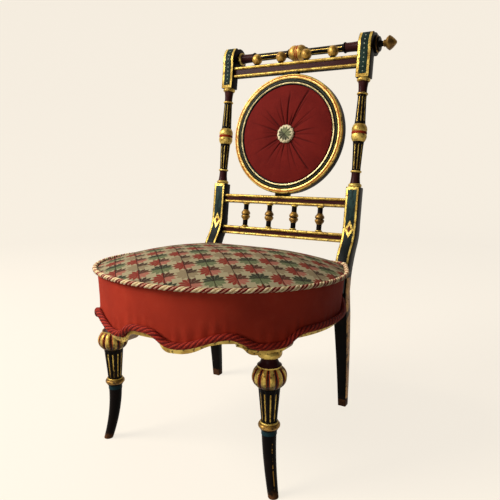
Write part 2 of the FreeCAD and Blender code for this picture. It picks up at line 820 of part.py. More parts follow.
def front_leg(name, side):
    """Turned leg with a gadrooned melon, and a sabre foot that sweeps outwards."""
    body = new_body(name + "_front_leg_body")
    band_top = size("sabre_height") + size("leg_band_height")
    ring_top = band_top + size("leg_ring_height")
    head = ("leg_collar_height", "leg_neck_height", "leg_fillet_height", "melon_height")
    melon_foot = leg_height - size(head[0]) - size(head[1]) - size(head[2]) - size(head[3])
    half = half_diameters("leg_", "melon_")
    band, ring, collar = half["leg_band"], half["leg_ring"], half["leg_collar"]
    turning(body, name + "_leg_turning", size("sabre_height"), [
        (size("leg_band_height"), band, band),
        (size("leg_ring_height"), ring, ring, size("leg_ring_swell")),
        (melon_foot - ring_top, half["leg_taper"], half["leg_taper_top"]),
        (size("melon_height"), half["melon_end"], half["melon_end"], size("melon_swell")),
        (size("leg_fillet_height"), half["leg_fillet"], half["leg_fillet"]),
        (size("leg_neck_height"), half["leg_neck_foot"], half["leg_neck"], -size("leg_neck_hollow")),
        (size("leg_collar_height"), collar, collar, size("leg_collar_swell")),
        (size("leg_tenon_length"), half["leg_tenon"], half["leg_tenon"]),
    ])
    swell = size("melon_swell")
    bow_radius = (size("melon_height") * size("melon_height") / 4 + swell * swell) / (swell * 2)
    reach = half["melon_end"] + swell - bow_radius
    axis = [part for part in body.Origin.OriginFeatures if part.Role == "Z_Axis"][0]
    lift = melon_foot + size("melon_height") / 2
    turn = arctangent(swell * 2 / size("melon_height")) * 4
    meridian_grooves(body, name + "_gadroon", "XY_Plane", (axis, [""]), GADROONS, reach, lift, bow_radius,
                     size("melon_groove"), turn)
    top, foot = size("sabre_top_diameter") / 2, size("sabre_foot_diameter") / 2
    sections = []
    for index, height_share in enumerate(SABRE_HEIGHT_SHARES):
        radius = top - (top - foot) * SABRE_TAPER_SHARES[index]
        sweep = size("sabre_sweep") * SABRE_SWEEP_SHARES[index]
        label = "%s_sabre_%d" % (name, index)
        height = size("sabre_height") * height_share
        sections.append(disc(body, label, "XY_Plane", sweep, NONE, radius, height))
    loft(body, name + "_sabre", sections)
    x, y = leg_axis(side)
    outward = size("leg_angle") * side - RIGHT_ANGLE
    place(body, x, y, NONE, Vector(0, 0, 1), outward)
    keep(body, name + "_front_leg")


# Rear legs and stiles


def stile_turning():
    """Pieces of the turned length of a stile: the same up and down from its ball."""
    half = half_diameters("stile_")
    ends = ("stile_collar_height", "stile_neck_height", "stile_ring_height", "stile_ball_height")
    used = (size(ends[0]) + size(ends[1]) + size(ends[2]) + size(ends[3])) * 2 + size("stile_band_height")
    shaft = (size("turning_length") - used) / 2
    collar, ring, ball = half["stile_collar"], half["stile_ring"], half["stile_ball"]
    lower = [
        (size("stile_collar_height"), collar, collar, size("stile_collar_swell")),
        (size("stile_neck_height"), half["stile_neck"], half["stile_neck_waist"]),
        (size("stile_ring_height"), ring, ring),
        (shaft, half["stile_shaft"], half["stile_shaft_ball"]),
        (size("stile_ball_height"), ball, ball, size("stile_ball_swell")),
    ]
    upper = [(length, last, first, *swell) for length, first, last, *swell in reversed(lower)]
    band = (size("stile_band_height"), half["stile_band"], half["stile_band"])
    return lower + [band] + upper


def rear_leg_corners():
    """Side outline of a rear leg and lower block, on the raked back."""
    top = -size("square_block_length")
    depth = size("stile_depth")
    knee, bend, foot = size("knee_setback"), size("bend_setback"), size("rear_foot_setback")
    middle, hollow = size("sweep_setback"), size("rear_leg_sweep")
    return [
        on_back(foot, NONE),
        (*on_back(foot + size("rear_foot_depth"), NONE), hollow),
        on_back(knee + size("knee_depth"), size("knee_height")),
        (*on_back(bend + size("bend_depth"), size("bend_height")), -size("bend_rear_swell")),
        (*on_back(middle + size("sweep_depth"), size("sweep_height")), size("sweep_swell")),
        (depth, top),
        (depth, NONE),
        (NONE, NONE),
        (NONE, top, -size("sweep_swell")),
        (*on_back(middle, size("sweep_height")), size("bend_front_swell")),
        on_back(bend, size("bend_height")),
        (*on_back(knee, size("knee_height")), -hollow),
    ]


def scroll_corners():
    """Side outline of an upper block: rounded front, saddle, and the scroll that holds the crest rail."""
    lift, setback, radius = size("crest_lift"), size("crest_setback"), size("scroll_radius")
    neck = size("scroll_neck_depth")
    under = root(radius * radius - (setback - neck) * (setback - neck))
    bump = (size("block_top_setback"), lift + size("block_top_lift"))
    saddle_away = setback - size("block_top_setback") * 2
    saddle = (size("block_top_setback") * 2, lift + root(radius * radius - saddle_away * saddle_away))
    rear = (setback + radius, lift)
    out, down = rear[0] - saddle[0], rear[1] - saddle[1]
    half_turn = root(out * out + down * down) / 2
    over = radius - root(radius * radius - half_turn * half_turn)
    below = (neck, lift - under)
    half_below = root((rear[0] - neck) * (rear[0] - neck) + under * under) / 2
    return [
        (NONE, size("turning_length")),
        (neck, size("turning_length")),
        (*below, radius - root(radius * radius - half_below * half_below)),
        (*rear, over),
        (*saddle, size("block_round_swell") * SADDLE_SWELL_SHARE),
        (*bump, size("block_round_swell")),
        (NONE, lift - size("block_round_drop")),
    ]


def stile(name, side, screws):
    """Rear leg and stile in one piece: square leg, lower block, turned length, and scrolled upper block."""
    body = new_body(name + "_stile_body")
    leg_side = outline(body, name + "_leg_side", "YZ_Plane", rear_leg_corners())
    pad(body, leg_side, size("stile_width"), symmetric=True)
    half, foot_half = size("stile_width") / 2, size("rear_foot_width") / 2
    floor = on_back(size("rear_foot_setback"), NONE)[1] - size("overrun")
    knee = on_back(size("knee_setback"), size("knee_height"))[1] - size("rail_height")
    for label, hand in (("inner", -1), ("outer", 1)):
        taper = outline(body, "%s_leg_taper_%s" % (name, label), "XZ_Plane", [
            (half * hand, knee), (foot_half * hand, floor), ((half + size("overrun")) * hand, floor),
            ((half + size("overrun")) * hand, knee),
        ])
        pocket(body, taper, frame_reach * 2, symmetric=True)
    turning(body, name + "_stile_turning", NONE, stile_turning(), size("stile_depth") / 2)
    scroll_side = outline(body, name + "_scroll_side", "YZ_Plane", scroll_corners())
    pad(body, scroll_side, size("stile_width"), symmetric=True)
    place_back(body, size("stile_spacing") * (side / 2))
    keep(cut(name + "_bored_stile", body, screws), name + "_stile")
    return body


def stile_screws():
    """Screws through the side rails and their stubs into the stiles."""
    screws = []
    across = size("rail_thickness") * SIDE_END_SHARES[1]
    start = size("rail_radius") * SIDE_END_SHARES[1] - across / 2
    length = size("knee_setback") + size("screw_bite") - start
    middle = -size("stile_block_top_drop") - size("stile_block_height") / 2
    for name, side in SIDES:
        for index, step in enumerate((-1, 1)):
            x = size("stile_spacing") * (side / 2)
            z = middle + size("screw_pitch") * (step / 2)
            shank = doc.addObject("Part::Cylinder", "%s_screw_shank_%d" % (name, index))
            bind(shank, "Radius", size("screw_diameter") / 2)
            bind(shank, "Height", length)
            head = doc.addObject("Part::Cylinder", "%s_screw_head_%d" % (name, index))
            bind(head, "Radius", size("screw_head_diameter") / 2)
            bind(head, "Height", size("screw_head_height"))
            for part in (shank, head):
                place(part, *seat_point(x, start, z), Vector(1, 0, 0), -RIGHT_ANGLE - size("seat_tilt"))
            screw = doc.addObject("Part::Fuse", "%s_screw_%d" % (name, index))
            screw.Base = shank
            screw.Tool = head
            screws.append(screw)
    group = doc.addObject("Part::Compound", "stile_screw_group")
    group.Links = screws
    keep(group, "stile_screws")
    return group


# Back rails, gallery and crest


def beaded_rail(label, height, lift):
    """Straight rail with a bead along its top and bottom and a sunk band between them."""
    body = new_body(label + "_body")
    bead, swell = size("bead_height"), size("bead_swell")
    depth = size("back_rail_depth")
    sketch = outline(body, label + "_section", "YZ_Plane", [
        (depth, height), (swell, height, swell),
        (swell, height - bead), (size("rail_recess"), height - bead), (size("rail_recess"), bead),
        (swell, bead, swell), (swell, NONE), (depth, NONE),
    ])
    pad(body, sketch, stile_inner * 2, symmetric=True)
    place_back(body, NONE, size("bead_setback"), lift)
    keep(body, label)


def gallery_spindle(index, x):
    """Turned gallery spindle with a two-lobed gilt ball."""
    body = new_body("gallery_spindle_%d_body" % index)
    shaft, ring = size("spindle_shaft_diameter") / 2, size("spindle_ring_diameter") / 2
    lobe = size("spindle_lobe_diameter") / 2
    ring_piece = (size("spindle_ring_height"), ring, ring)
    lobe_piece = (size("spindle_lobe_height"), lobe, lobe, size("spindle_lobe_swell"))
    plain = size("gallery_gap") / 2 - size("spindle_ring_height") - size("spindle_lobe_height")
    turning(body, "gallery_spindle_%d_turning" % index, NONE, [
        ring_piece, (plain, shaft, shaft), lobe_piece, lobe_piece, (plain, shaft, shaft), ring_piece,
    ])
    place_back(body, x, size("spindle_axis_setback"), gallery_foot + size("gallery_rail_height"))
    keep(body, "gallery_spindle_%d" % index)


def crest_ball(index, x):
    """Gilt ball on a short neck, standing on the top rail."""
    body = new_body("crest_ball_%d_body" % index)
    neck, base = size("ball_foot_diameter") / 2, size("ball_base_diameter") / 2
    turning(body, "crest_ball_%d_turning" % index, NONE, [
        (size("ball_foot_height"), neck, neck),
        (size("ball_height"), base, base, size("ball_swell")),
    ])
    place_back(body, x, size("spindle_axis_setback"), size("top_rail_lift") + size("top_rail_height"))
    keep(body, "crest_ball_%d" % index)


def crest_rail():
    """Turned crest rail between the scrolls, with a bulb at its middle."""
    body = new_body("crest_rail_body")
    half = half_diameters("crest_", "bulb_")
    total = size("crest_collar_length") + size("crest_end_length") + size("crest_ring_length")
    total = total + size("bulb_collar_length") + size("bulb_half_length")
    shaft = stile_inner - total - size("bulb_band_length") / 2
    collar, ring = half["crest_collar"], half["crest_ring"]
    left = [
        (size("crest_collar_length"), collar, collar, size("crest_collar_swell")),
        (size("crest_end_length"), half["crest_end"], half["crest_end_waist"]),
        (size("crest_ring_length"), ring, ring),
        (shaft, half["crest_shaft"], half["crest_shaft_inner"]),
        (size("bulb_collar_length"), half["bulb_collar"], half["bulb_collar"]),
        (size("bulb_half_length"), half["bulb_end"], half["bulb_band"], size("bulb_swell")),
    ]
    right = [(length, last, first, *swell) for length, first, last, *swell in reversed(left)]
    band = (size("bulb_band_length"), half["bulb_band"], half["bulb_band"])
    corners = lying(stacked(-stile_inner, left + [band] + right))
    revolve(body, outline(body, "crest_rail_turning", "XY_Plane", corners), "H_Axis")
    place_back(body, NONE, size("crest_setback"), size("crest_lift"))
    keep(body, "crest_rail")


def finial(name, side):
    """Turned boss on the outer end of the crest scroll, with a bud on the right one."""
    body = new_body(name + "_finial_body")
    half = half_diameters("boss", "finial_", "bud")
    ring, neck, collar = half["boss_ring"], half["finial_neck"], half["finial_collar"]
    boss = [
        (size("boss_length"), half["boss"], half["boss"]),
        (size("boss_ring_length"), ring, ring, size("boss_ring_swell")),
    ]
    bud = [
        (size("finial_neck_length"), neck, neck),
        (size("finial_collar_length"), collar, collar),
        (size("bud_shoulder_length"), half["bud_base"], half["bud"], size("bud_shoulder_swell")),
        (size("bud_cone_length"), half["bud"], half["bud_tip"], size("bud_cone_swell")),
    ]
    # The chair has lost its left bud, so only the boss is there.
    corners = lying(stacked(NONE, boss + bud)) if side > 0 else mirrored(lying(stacked(NONE, boss)))
    revolve(body, outline(body, name + "_finial_turning", "XY_Plane", corners), "H_Axis")
    place_back(body, stile_outer * side, size("crest_setback"), size("crest_lift"))
    keep(body, name + "_finial")


# Medallion


def medallion_ring():
    """Moulded ring of the medallion, rebated behind for its board."""
    body = new_body("medallion_ring_body")
    radius = size("medallion_radius")
    depth = size("medallion_depth")
    rounding = size("medallion_edge_round")
    rebate = depth - size("medallion_rebate")
    sketch = outline(body, "medallion_ring_section", "XY_Plane", [
        (radius * REBATE_SHARE, depth), (radius * REBATE_SHARE, rebate), (radius * OPENING_SHARE, rebate),
        (radius * OPENING_SHARE, size("medallion_cove")),
        (radius * COVE_SHARE, size("medallion_cove"), -size("medallion_cove") * COVE_HOLLOW_SHARE),
        (radius * FILLET_SHARE, size("medallion_fillet_drop")),
        (radius * CHANNEL_SHARE, size("medallion_fillet_drop")),
        (radius * CHANNEL_SHARE, size("medallion_channel")), (radius * GILT_SHARE, size("medallion_channel")),
        (radius * GILT_SHARE, NONE, rounding / 2), (radius, rounding), (radius, depth),
    ])
    revolve(body, sketch, "V_Axis")
    place_back(body, NONE, -size("medallion_front_lead"), medallion_lift)
    keep(body, "medallion_ring")


def medallion_disc(label, radius, start, thickness):
    """Flat round layer behind the medallion's pad."""
    body = new_body(label + "_body")
    sketch = disc(body, label + "_plan", "XZ_Plane", NONE, NONE, radius)
    pad(body, sketch, thickness, reverse=True)
    place_back(body, NONE, start - size("medallion_front_lead"), medallion_lift)
    keep(body, label)


def medallion_pad():
    """Crowned pad with sewn-down middle and radial pleats."""
    body = new_body("medallion_pad_body")
    radius = size("medallion_radius")
    back = size("medallion_depth") - size("medallion_rebate") - size("soft_clearance")
    edge = back - size("pad_edge")
    seat = back - size("pad_seat_lead")
    rim, tuft = radius * PAD_SHARE, radius * PAD_SEAT_SHARE
    sketch = outline(body, "medallion_pad_section", "XY_Plane", [
        (NONE, back), (NONE, seat), (tuft, seat, size("pad_swell")), (rim, edge), (rim, back),
    ])
    revolve(body, sketch, "V_Axis")
    span = (rim - tuft) * (rim - tuft) + (edge - seat) * (edge - seat)
    swell = size("pad_swell")
    bow_radius = (span / 4 + swell * swell) / (swell * 2)
    inward = (bow_radius - swell) / root(span)
    reach = (rim + tuft) / 2 - (edge - seat) * inward
    lift = (edge + seat) / 2 + (rim - tuft) * inward
    axis = [part for part in body.Origin.OriginFeatures if part.Role == "Y_Axis"][0]
    turn = arctangent(swell * 2 / root(span)) * 4
    meridian_grooves(body, "medallion_pleat", "YZ_Plane", (axis, [""]), PLEATS, lift, reach, -bow_radius,
                     size("pad_pleat"), turn)
    place_back(body, NONE, -size("medallion_front_lead"), medallion_lift)
    keep(body, "medallion_pad")


def medallion_button():
    """Covered button that holds the middle of the pad down."""
    body = new_body("medallion_button_body")
    radius = size("button_diameter") / 2
    front = size("medallion_depth") - size("medallion_rebate") - size("pad_seat_lead")
    back = front - size("soft_clearance") * 2
    edge = size("button_edge")
    sketch = outline(body, "medallion_button_section", "XY_Plane", [
        (NONE, back), (NONE, back - edge - size("button_swell"), size("button_swell") * BUTTON_BOW_SHARE),
        (radius, back - edge), (radius, back),
    ])
    revolve(body, sketch, "V_Axis")
    place_back(body, NONE, -size("medallion_front_lead"), medallion_lift)
    keep(body, "medallion_button")


def medallion_saddle(label, side):
    """Small block that seats the medallion ring on a rail."""
    gap = (size("top_rail_lift") + size("gallery_top_drop")) / 2
    block = doc.addObject("Part::Box", label + "_blank")
    bind(block, "Length", size("saddle_width"))
    bind(block, "Width", size("saddle_depth"))
    bow = size("saddle_width") * (size("saddle_width") / size("medallion_radius") / 8)
    depth = gap - size("medallion_radius") + bow
    bind(block, "Height", depth)
    start = gap - depth if side > 0 else -gap
    setback = (size("medallion_depth") - size("saddle_depth")) / 2
    place_back(block, -size("saddle_width") / 2, setback, medallion_lift + start)
    ring = doc.addObject("Part::Cylinder", label + "_ring_space")
    bind(ring, "Radius", size("medallion_radius"))
    bind(ring, "Height", size("medallion_depth") + size("overrun") * 2)
    rake = size("rake")
    away = size("medallion_depth") + size("overrun")
    y = back_place + away * cosine(rake) + medallion_lift * sine(rake)
    z = size("back_height") - away * sine(rake) + medallion_lift * cosine(rake)
    place(ring, NONE, y, z, Vector(1, 0, 0), RIGHT_ANGLE - rake)
    keep(cut(label + "_fitted", block, ring), label)


# Upholstery


boxing_lift = size("moulding_height") + size("soft_clearance")
boxing_foot = apron_low + boxing_lift
boxing_foot_radius = size("rail_radius") + size("cloth_thickness") + size("soft_clearance")
boxing_slope = (boxing_foot_radius - size("seat_radius")) / boxing_foot
cover_radius = size("seat_radius") - size("cloth_thickness")


def boxing():
    """Velvet band round the seat, cut to the scalloped edge, with gaps for the stubs that meet the stiles."""
    body = new_body("boxing_body")
    lift = boxing_lift
    for name, inset, margin in (("outer", NONE, NONE), ("inner", size("cloth_thickness"), size("overrun"))):
        sections = []
        for label, level in (("low", boxing_foot - margin), ("high", margin)):
            radius = size("seat_radius") - inset + boxing_slope * level
            sections.append(seat_plan(body, "boxing_%s_%s" % (name, label), radius, level))
        loft(body, "boxing_" + name, sections, ruled=True, cut=name == "inner")
    trim_below(body, "boxing_front_edge", front_edge(lift), frame_reach)
    for name, side in SIDES:
        edge = leg_edge(lift)
        trim_below(body, "boxing_%s_edge" % name, edge if side > 0 else mirrored(edge), frame_reach)
    level = outline(body, "boxing_rear_edge", "XZ_Plane", [
        (-frame_reach, rail_bottom + lift), (-frame_reach, apron_low), (frame_reach, apron_low),
        (frame_reach, rail_bottom + lift),
    ])
    pocket(body, level, frame_reach)
    top = size("soft_clearance") - size("stile_block_top_drop")
    bottom = -size("soft_clearance") - size("stile_block_top_drop") - size("stile_block_height")
    half = size("stile_block_width") / 2 + size("soft_clearance")
    for name, side in SIDES:
        middle = size("stile_spacing") * (side / 2)
        window = outline(body, "boxing_%s_window" % name, "XZ_Plane", [
            (middle - half, bottom), (middle + half, bottom), (middle + half, top), (middle - half, top),
        ])
        pocket(body, window, frame_reach)
    place_seat(body)
    keep(body, "seat_boxing")


def dome(body, name, radius, foot, crown, cut_out=False):
    """Crowned top of the seat over its plan."""
    sections = []
    for index, radius_share in enumerate(CROWN_RADIUS_SHARES):
        lift = foot + crown * CROWN_RISE_SHARES[index]
        sections.append(seat_plan(body, "%s_%d" % (name, index), radius * radius_share, lift))
    return loft(body, name, sections, cut=cut_out)


def stuffing():
    """Hair stuffing between the hessian and the covers, crowned like the seat."""
    body = new_body("stuffing_body")
    inset = size("cloth_thickness") + size("soft_clearance")
    foot = size("hessian_thickness") + size("soft_clearance") - size("rail_top_drop")
    rim = -size("cloth_thickness")
    radius = cover_radius * CROWN_RADIUS_SHARES[0] - size("soft_clearance")
    sections = [
        seat_plan(body, "stuffing_foot", size("rail_radius") - inset, foot),
        seat_plan(body, "stuffing_rim", radius * CROWN_RADIUS_SHARES[0], rim),
    ]
    loft(body, "stuffing_side", sections, ruled=True)
    dome(body, "stuffing_crown", radius, rim, size("seat_crown"))
    place_seat(body)
    keep(body, "seat_stuffing")


def top_cover():
    """Printed cover over the crowned stuffing."""
    body = new_body("top_cover_body")
    lift = size("soft_clearance")
    inner = lift - size("cloth_thickness")
    dome(body, "cover_outer", cover_radius, lift, size("seat_crown"))
    dome(body, "cover_inner", cover_radius * CROWN_RADIUS_SHARES[0], inner, size("seat_crown"), cut_out=True)
    place_seat(body)
    keep(body, "seat_top_cover")


def hessian():
    """Hessian on top of the seat rails, over the springs."""
    body = new_body("hessian_body")
    radius = size("rail_radius") - size("soft_clearance")
    pad(body, seat_plan(body, "hessian_plan", radius, -size("rail_top_drop")), size("hessian_thickness"))
    place_seat(body)
    keep(body, "seat_hessian")


def leg_blocks():
    """Both leg blocks together, which the layers between the rails are cut round."""
    blocks = doc.addObject("Part::Compound", "layer_stops")
    blocks.Links = [nodes["left_leg_block"], nodes["right_leg_block"]]
    return blocks


def dust_cover(stops):
    """Thin dust cover under the webbing, between the seat rails."""
    body = new_body("dust_cover_body")
    plan = seat_plan(body, "dust_cover_plan", rail_inner - size("soft_clearance"), rail_bottom)
    pad(body, plan, size("dust_cover_thickness"))
    place_seat(body)
    keep(cut("dust_cover_clear", body, stops), "seat_dust_cover")


def webbing(stops):
    """Two crossing layers of webbing between the rails."""
    floor = rail_bottom + size("web_lift")
    inner = rail_inner - size("soft_clearance")
    straps = []
    for layer in range(2):
        for index in range(WEBS):
            middle = size("web_pitch") * (index - (WEBS - 1) / 2)
            strap = doc.addObject("Part::Box", "web_%d_%d" % (layer, index))
            across, along = ("Length", "Width") if layer else ("Width", "Length")
            bind(strap, across, size("web_width"))
            bind(strap, along, inner * 2)
            bind(strap, "Height", size("web_thickness"))
            low, wide = middle - size("web_width") / 2, -inner
            x, y = (low, wide) if layer else (wide, low)
            level = floor + size("web_thickness") * layer
            place(strap, *seat_point(x, y, level), Vector(1, 0, 0), -size("seat_tilt"))
            straps.append(strap)
    group = doc.addObject("Part::Compound", "web_straps")
    group.Links = straps
    well = new_body("web_well")
    pad(well, seat_plan(well, "web_well_plan", inner, floor - size("overrun")), size("overrun") * 2)
    place_seat(well)
    fitted = doc.addObject("Part::Common", "web_in_well")
    fitted.Base = group
    fitted.Tool = well
    keep(cut("web_clear", fitted, stops), "seat_webbing")


# Cords and springs, as tubes along tangent arcs


def arc_between(start, way, finish):
    """Arc from a point along a way to another point, and the way at its end."""
    span = finish - start
    aside = span - way * span.dot(way)
    if aside.Length < 1e-7 * span.Length:
        return Part.LineSegment(start, finish).toShape(), way
    aside.normalize()
    along, off = span.dot(way), span.dot(aside)
    radius = (along * along + off * off) / (2 * off)
    middle = start + aside * radius
    turn = math.atan2(along, radius - off)
    half = start + way * (radius * math.sin(turn / 2)) + aside * (radius * (1 - math.cos(turn / 2)))
    end_way = way * math.cos(turn) + aside * math.sin(turn)
    return Part.Arc(start, half, finish).toShape(), end_way


def biarc(start, way, finish, end_way):
    """Two tangent arcs from one point and way to another."""
    span = finish - start
    ways = way + end_way
    spread = 2 * (1 - way.dot(end_way))
    if spread < 1e-9:
        reach = span.Length * span.Length / (4 * span.dot(end_way))
    else:
        slope = span.dot(ways)
        reach = (math.sqrt(slope * slope + spread * span.dot(span)) - slope) / spread
    meet = (start + way * reach + finish - end_way * reach) * 0.5
    first, meet_way = arc_between(start, way, meet)
    second, _ = arc_between(meet, meet_way, finish)
    return [first, second]


def tube(points, ways, diameter, closed):
    """Tube of a diameter through points, with the way at each of them."""
    edges = []
    count = len(points)
    for index in range(count if closed else count - 1):
        after = (index + 1) % count
        edges += biarc(points[index], ways[index], points[after], ways[after])
    path = Part.Wire(edges)
    profile = Part.Wire([Part.Circle(points[0], ways[0], diameter / 2).toShape()])
    shape = path.makePipeShell([profile], True, False)
    solid = Part.Solid(shape.Shells[0]) if shape.ShapeType != "Solid" else shape
    print("tube volume share of section times length:",
          round(solid.Volume / (math.pi * diameter * diameter / 4 * path.Length), 4))
    return solid


def feature(label, shape):
    """A piece whose shape is worked out here, placed with the seat."""
    thing = doc.addObject("Part::Feature", label + "_shape")
    thing.Shape = shape
    place_seat(thing)
    keep(thing, label)


def loop_route(standoff, front_levels, level):
    """Points and ways of a closed loop round the seat at a standoff from the boxing.

    The round front follows (angle, level) pairs from the middle outwards, and the rest lies at one level.
    """
    spots = []
    for angle, height in front_levels:
        turn = math.radians(angle)
        spots.append(((math.sin(turn), -math.cos(turn)), turn, height))
    straight = math.radians(SEAT_STRAIGHT_ANGLE)
    after = math.radians(SEAT_STRAIGHT_ANGLE + SEAT_CORNER_TURN)
    for shares, turn in ((ROUND_END_SHARES, straight), (SIDE_END_SHARES, straight), (BACK_END_SHARES, after)):
        spots.append((shares, turn, level))
    half = []
    for shares, turn, height in spots:
        reach = (size("seat_radius") + boxing_slope * height).value
        x = reach * shares[0] + standoff * math.sin(turn)
        y = reach * shares[1] - standoff * math.cos(turn)
        half.append((Vector(x, y, height), Vector(math.cos(turn), math.sin(turn), 0)))
    other = []
    for point, way in reversed(half[1:]):
        other.append((Vector(-point.x, point.y, point.z), Vector(way.x, -way.y, -way.z)))
    route = half + other
    return [point for point, _ in route], [way for _, way in route]


def rope():
    """Twisted rope along the top of the apron moulding, and round the back at the same level."""
    lift = (size("moulding_height") + size("rope_diameter") / 2 + size("soft_clearance") * 2).value
    high, low = rail_bottom.value + lift, apron_low.value + lift
    turns = ("peak", "lobe_start", "lobe_end", "crest", "dip_start", "dip_end", "side")
    levels = (high, low, low, high, low, low, high)
    front = [(0, high)]
    front += [(SIZES[turn + "_angle"], height) for turn, height in zip(turns, levels)]
    standoff = (size("soft_clearance") + size("rope_diameter") / 2).value
    feature("seat_rope", tube(*loop_route(standoff, front, high), SIZES["rope_diameter"], True))


def piping():
    """Corded piping round the rim, between the boxing and the top cover."""
    front = [(0, 0), (SEAT_STRAIGHT_ANGLE / 2, 0)]
    feature("seat_piping", tube(*loop_route(piping_standoff.value, front, 0), SIZES["piping_diameter"], True))


def spring_shape():
    """Waisted coil spring, one unbroken tube with its foot at the middle of its base."""
    wire = SIZES["spring_wire"]
    wide, waist = SIZES["spring_radius"], SIZES["spring_waist"]
    clear = size("soft_clearance").value
    height = (size("rail_height") - size("web_lift") - size("web_thickness") * 2).value - wire - clear * 2
    points = []
    ways = []
    quarters = SPRING_CURLS * 4
    for step in range(quarters + 1):
        share = step / quarters
        turn = share * SPRING_CURLS * 2 * math.pi
        squeeze = math.sin(math.pi * share)
        radius = wide - (wide - waist) * squeeze
        pinch = -(wide - waist) * math.pi * math.cos(math.pi * share) / (SPRING_CURLS * 2 * math.pi)
        rise = height / (SPRING_CURLS * 2 * math.pi)
        points.append(Vector(radius * math.cos(turn), radius * math.sin(turn), height * share))
        way = Vector(pinch * math.cos(turn) - radius * math.sin(turn),
                     pinch * math.sin(turn) + radius * math.cos(turn), rise)
        ways.append(way.normalize())
    gap = min((points[index + 4] - points[index]).Length for index in range(quarters - 3)) - wire
    print("least gap between spring curls: %.2f mm" % gap)
    return tube(points, ways, wire, False)


def springs():
    """Ring of springs and one at the middle, standing on the webbing."""
    one = spring_shape()
    foot = (rail_bottom + size("web_lift") + size("web_thickness") * 2 + size("spring_wire") / 2
            + size("soft_clearance")).value
    places = [Vector(0, 0, foot)]
    for index in range(SPRING_RING):
        turn = 2 * math.pi * index / SPRING_RING
        reach = (rail_inner * SPRING_CIRCLE_SHARE).value
        places.append(Vector(reach * math.sin(turn), -reach * math.cos(turn), foot))
    shapes = []
    for spot in places:
        copy = one.copy()
        copy.translate(spot)
        shapes.append(copy)
    feature("seat_springs", Part.makeCompound(shapes))


# Assembly


def build():
    """Make every piece of the chair."""
    screws = stile_screws()
    front_rail()
    front_moulding()
    side_rails = []
    for name, side in SIDES:
        leg_block(name, side)
        front_leg(name, side)
        side_moulding(name, side)
        body = stile(name, side, screws)
        side_rails.append(side_rail(name, side, body, screws))
        finial(name, side)
    back_rail(side_rails)
    beaded_rail("top_rail", size("top_rail_height"), size("top_rail_lift"))
    upper_foot = -size("gallery_top_drop") - size("gallery_rail_height")
    beaded_rail("upper_gallery_rail", size("gallery_rail_height"), upper_foot)
    beaded_rail("lower_gallery_rail", size("gallery_rail_height"), gallery_foot)
    for index, step_share in enumerate((-1.5, -0.5, 0.5, 1.5), start=1):
        gallery_spindle(index, size("spindle_spacing") * step_share)
        crest_ball(index, size("spindle_spacing") * step_share)
    crest_rail()
    medallion_ring()
    rebate = size("medallion_depth") - size("medallion_rebate")
    board_radius = size("medallion_radius") * REBATE_SHARE - size("soft_clearance")
    medallion_disc("medallion_board", board_radius, rebate, size("board_thickness"))
    board_back = rebate + size("board_thickness")
    medallion_disc("medallion_back_cover", board_radius, board_back, size("back_cover_thickness"))
    medallion_pad()
    medallion_button()
    medallion_saddle("medallion_top_saddle", 1)
    medallion_saddle("medallion_bottom_saddle", -1)
    boxing()
    stuffing()
    top_cover()
    hessian()
    stops = leg_blocks()
    dust_cover(stops)
    webbing(stops)
    rope()
    piping()
    springs()


def check():
    """Stop if any object failed or any piece has no sound solid."""
    doc.recompute()
    for thing in doc.Objects:
        if "Invalid" in thing.State or "Error" in thing.State:
            raise RuntimeError("%s failed: %s" % (thing.Name, thing.State))
    for label, thing in nodes.items():
        if thing.Shape.isNull() or not thing.Shape.isValid() or not thing.Shape.Solids:
            raise RuntimeError("%s has no sound solid" % label)


def write():
    """Write each piece to a file of its own."""
    os.makedirs("parts", exist_ok=True)
    for label, thing in nodes.items():
        thing.Shape.exportStep(os.path.join("parts", label + ".step"))
        box = thing.Shape.BoundBox
        print("%-26s solids %2d  z %7.1f to %7.1f" % (label, len(thing.Shape.Solids), box.ZMin, box.ZMax))


build()
check()
write()
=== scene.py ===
"""Looks of a boudoir chair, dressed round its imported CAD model.

Pieces are worked in millimetres in the frame of the seat, the back or the floor, and then placed in metres.
"""

import logging
import math
from collections.abc import Callable, Sequence
from dataclasses import dataclass, replace
from enum import Enum
from typing import ClassVar

import bmesh
import bpy
from mathutils import Matrix, Vector


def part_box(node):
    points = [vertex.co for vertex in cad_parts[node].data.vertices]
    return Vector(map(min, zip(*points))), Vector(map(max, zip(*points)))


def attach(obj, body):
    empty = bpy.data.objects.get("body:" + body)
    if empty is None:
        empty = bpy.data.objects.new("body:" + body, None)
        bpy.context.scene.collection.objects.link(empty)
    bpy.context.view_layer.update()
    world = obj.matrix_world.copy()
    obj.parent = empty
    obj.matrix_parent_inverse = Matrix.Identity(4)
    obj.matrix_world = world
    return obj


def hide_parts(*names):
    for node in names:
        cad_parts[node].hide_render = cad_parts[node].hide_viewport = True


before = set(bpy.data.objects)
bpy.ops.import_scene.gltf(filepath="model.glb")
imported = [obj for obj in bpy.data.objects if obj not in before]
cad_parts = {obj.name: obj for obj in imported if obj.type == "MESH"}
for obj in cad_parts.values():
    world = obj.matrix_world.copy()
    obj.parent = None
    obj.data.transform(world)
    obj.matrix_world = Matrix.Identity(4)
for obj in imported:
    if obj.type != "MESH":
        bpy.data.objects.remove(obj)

log = logging.getLogger("boudoir_chair")

Colour = tuple[float, float, float, float]
Point = tuple[float, float]

# Metres in a millimetre
MM = 0.001
# Points nearer than this are welded, in the unit of the part
WELD = 1e-4
# Levels nearer than this are one level, in millimetres
SAME_LEVEL = 1e-3
# Faces that meet at more than this show an edge
SHARP = math.radians(36)
# Gap from the end of a shaft to the gilt lines in its flutes, in millimetres
LINE_GAP = 4.0


def shade(red: int, green: int, blue: int) -> Colour:
    """Give the linear colour of a display shade, whose parts go up to 255."""
    parts = (part / 255 for part in (red, green, blue))
    return (*(p / 12.92 if p <= 0.04045 else ((p + 0.055) / 1.055) ** 2.4 for p in parts), 1.0)


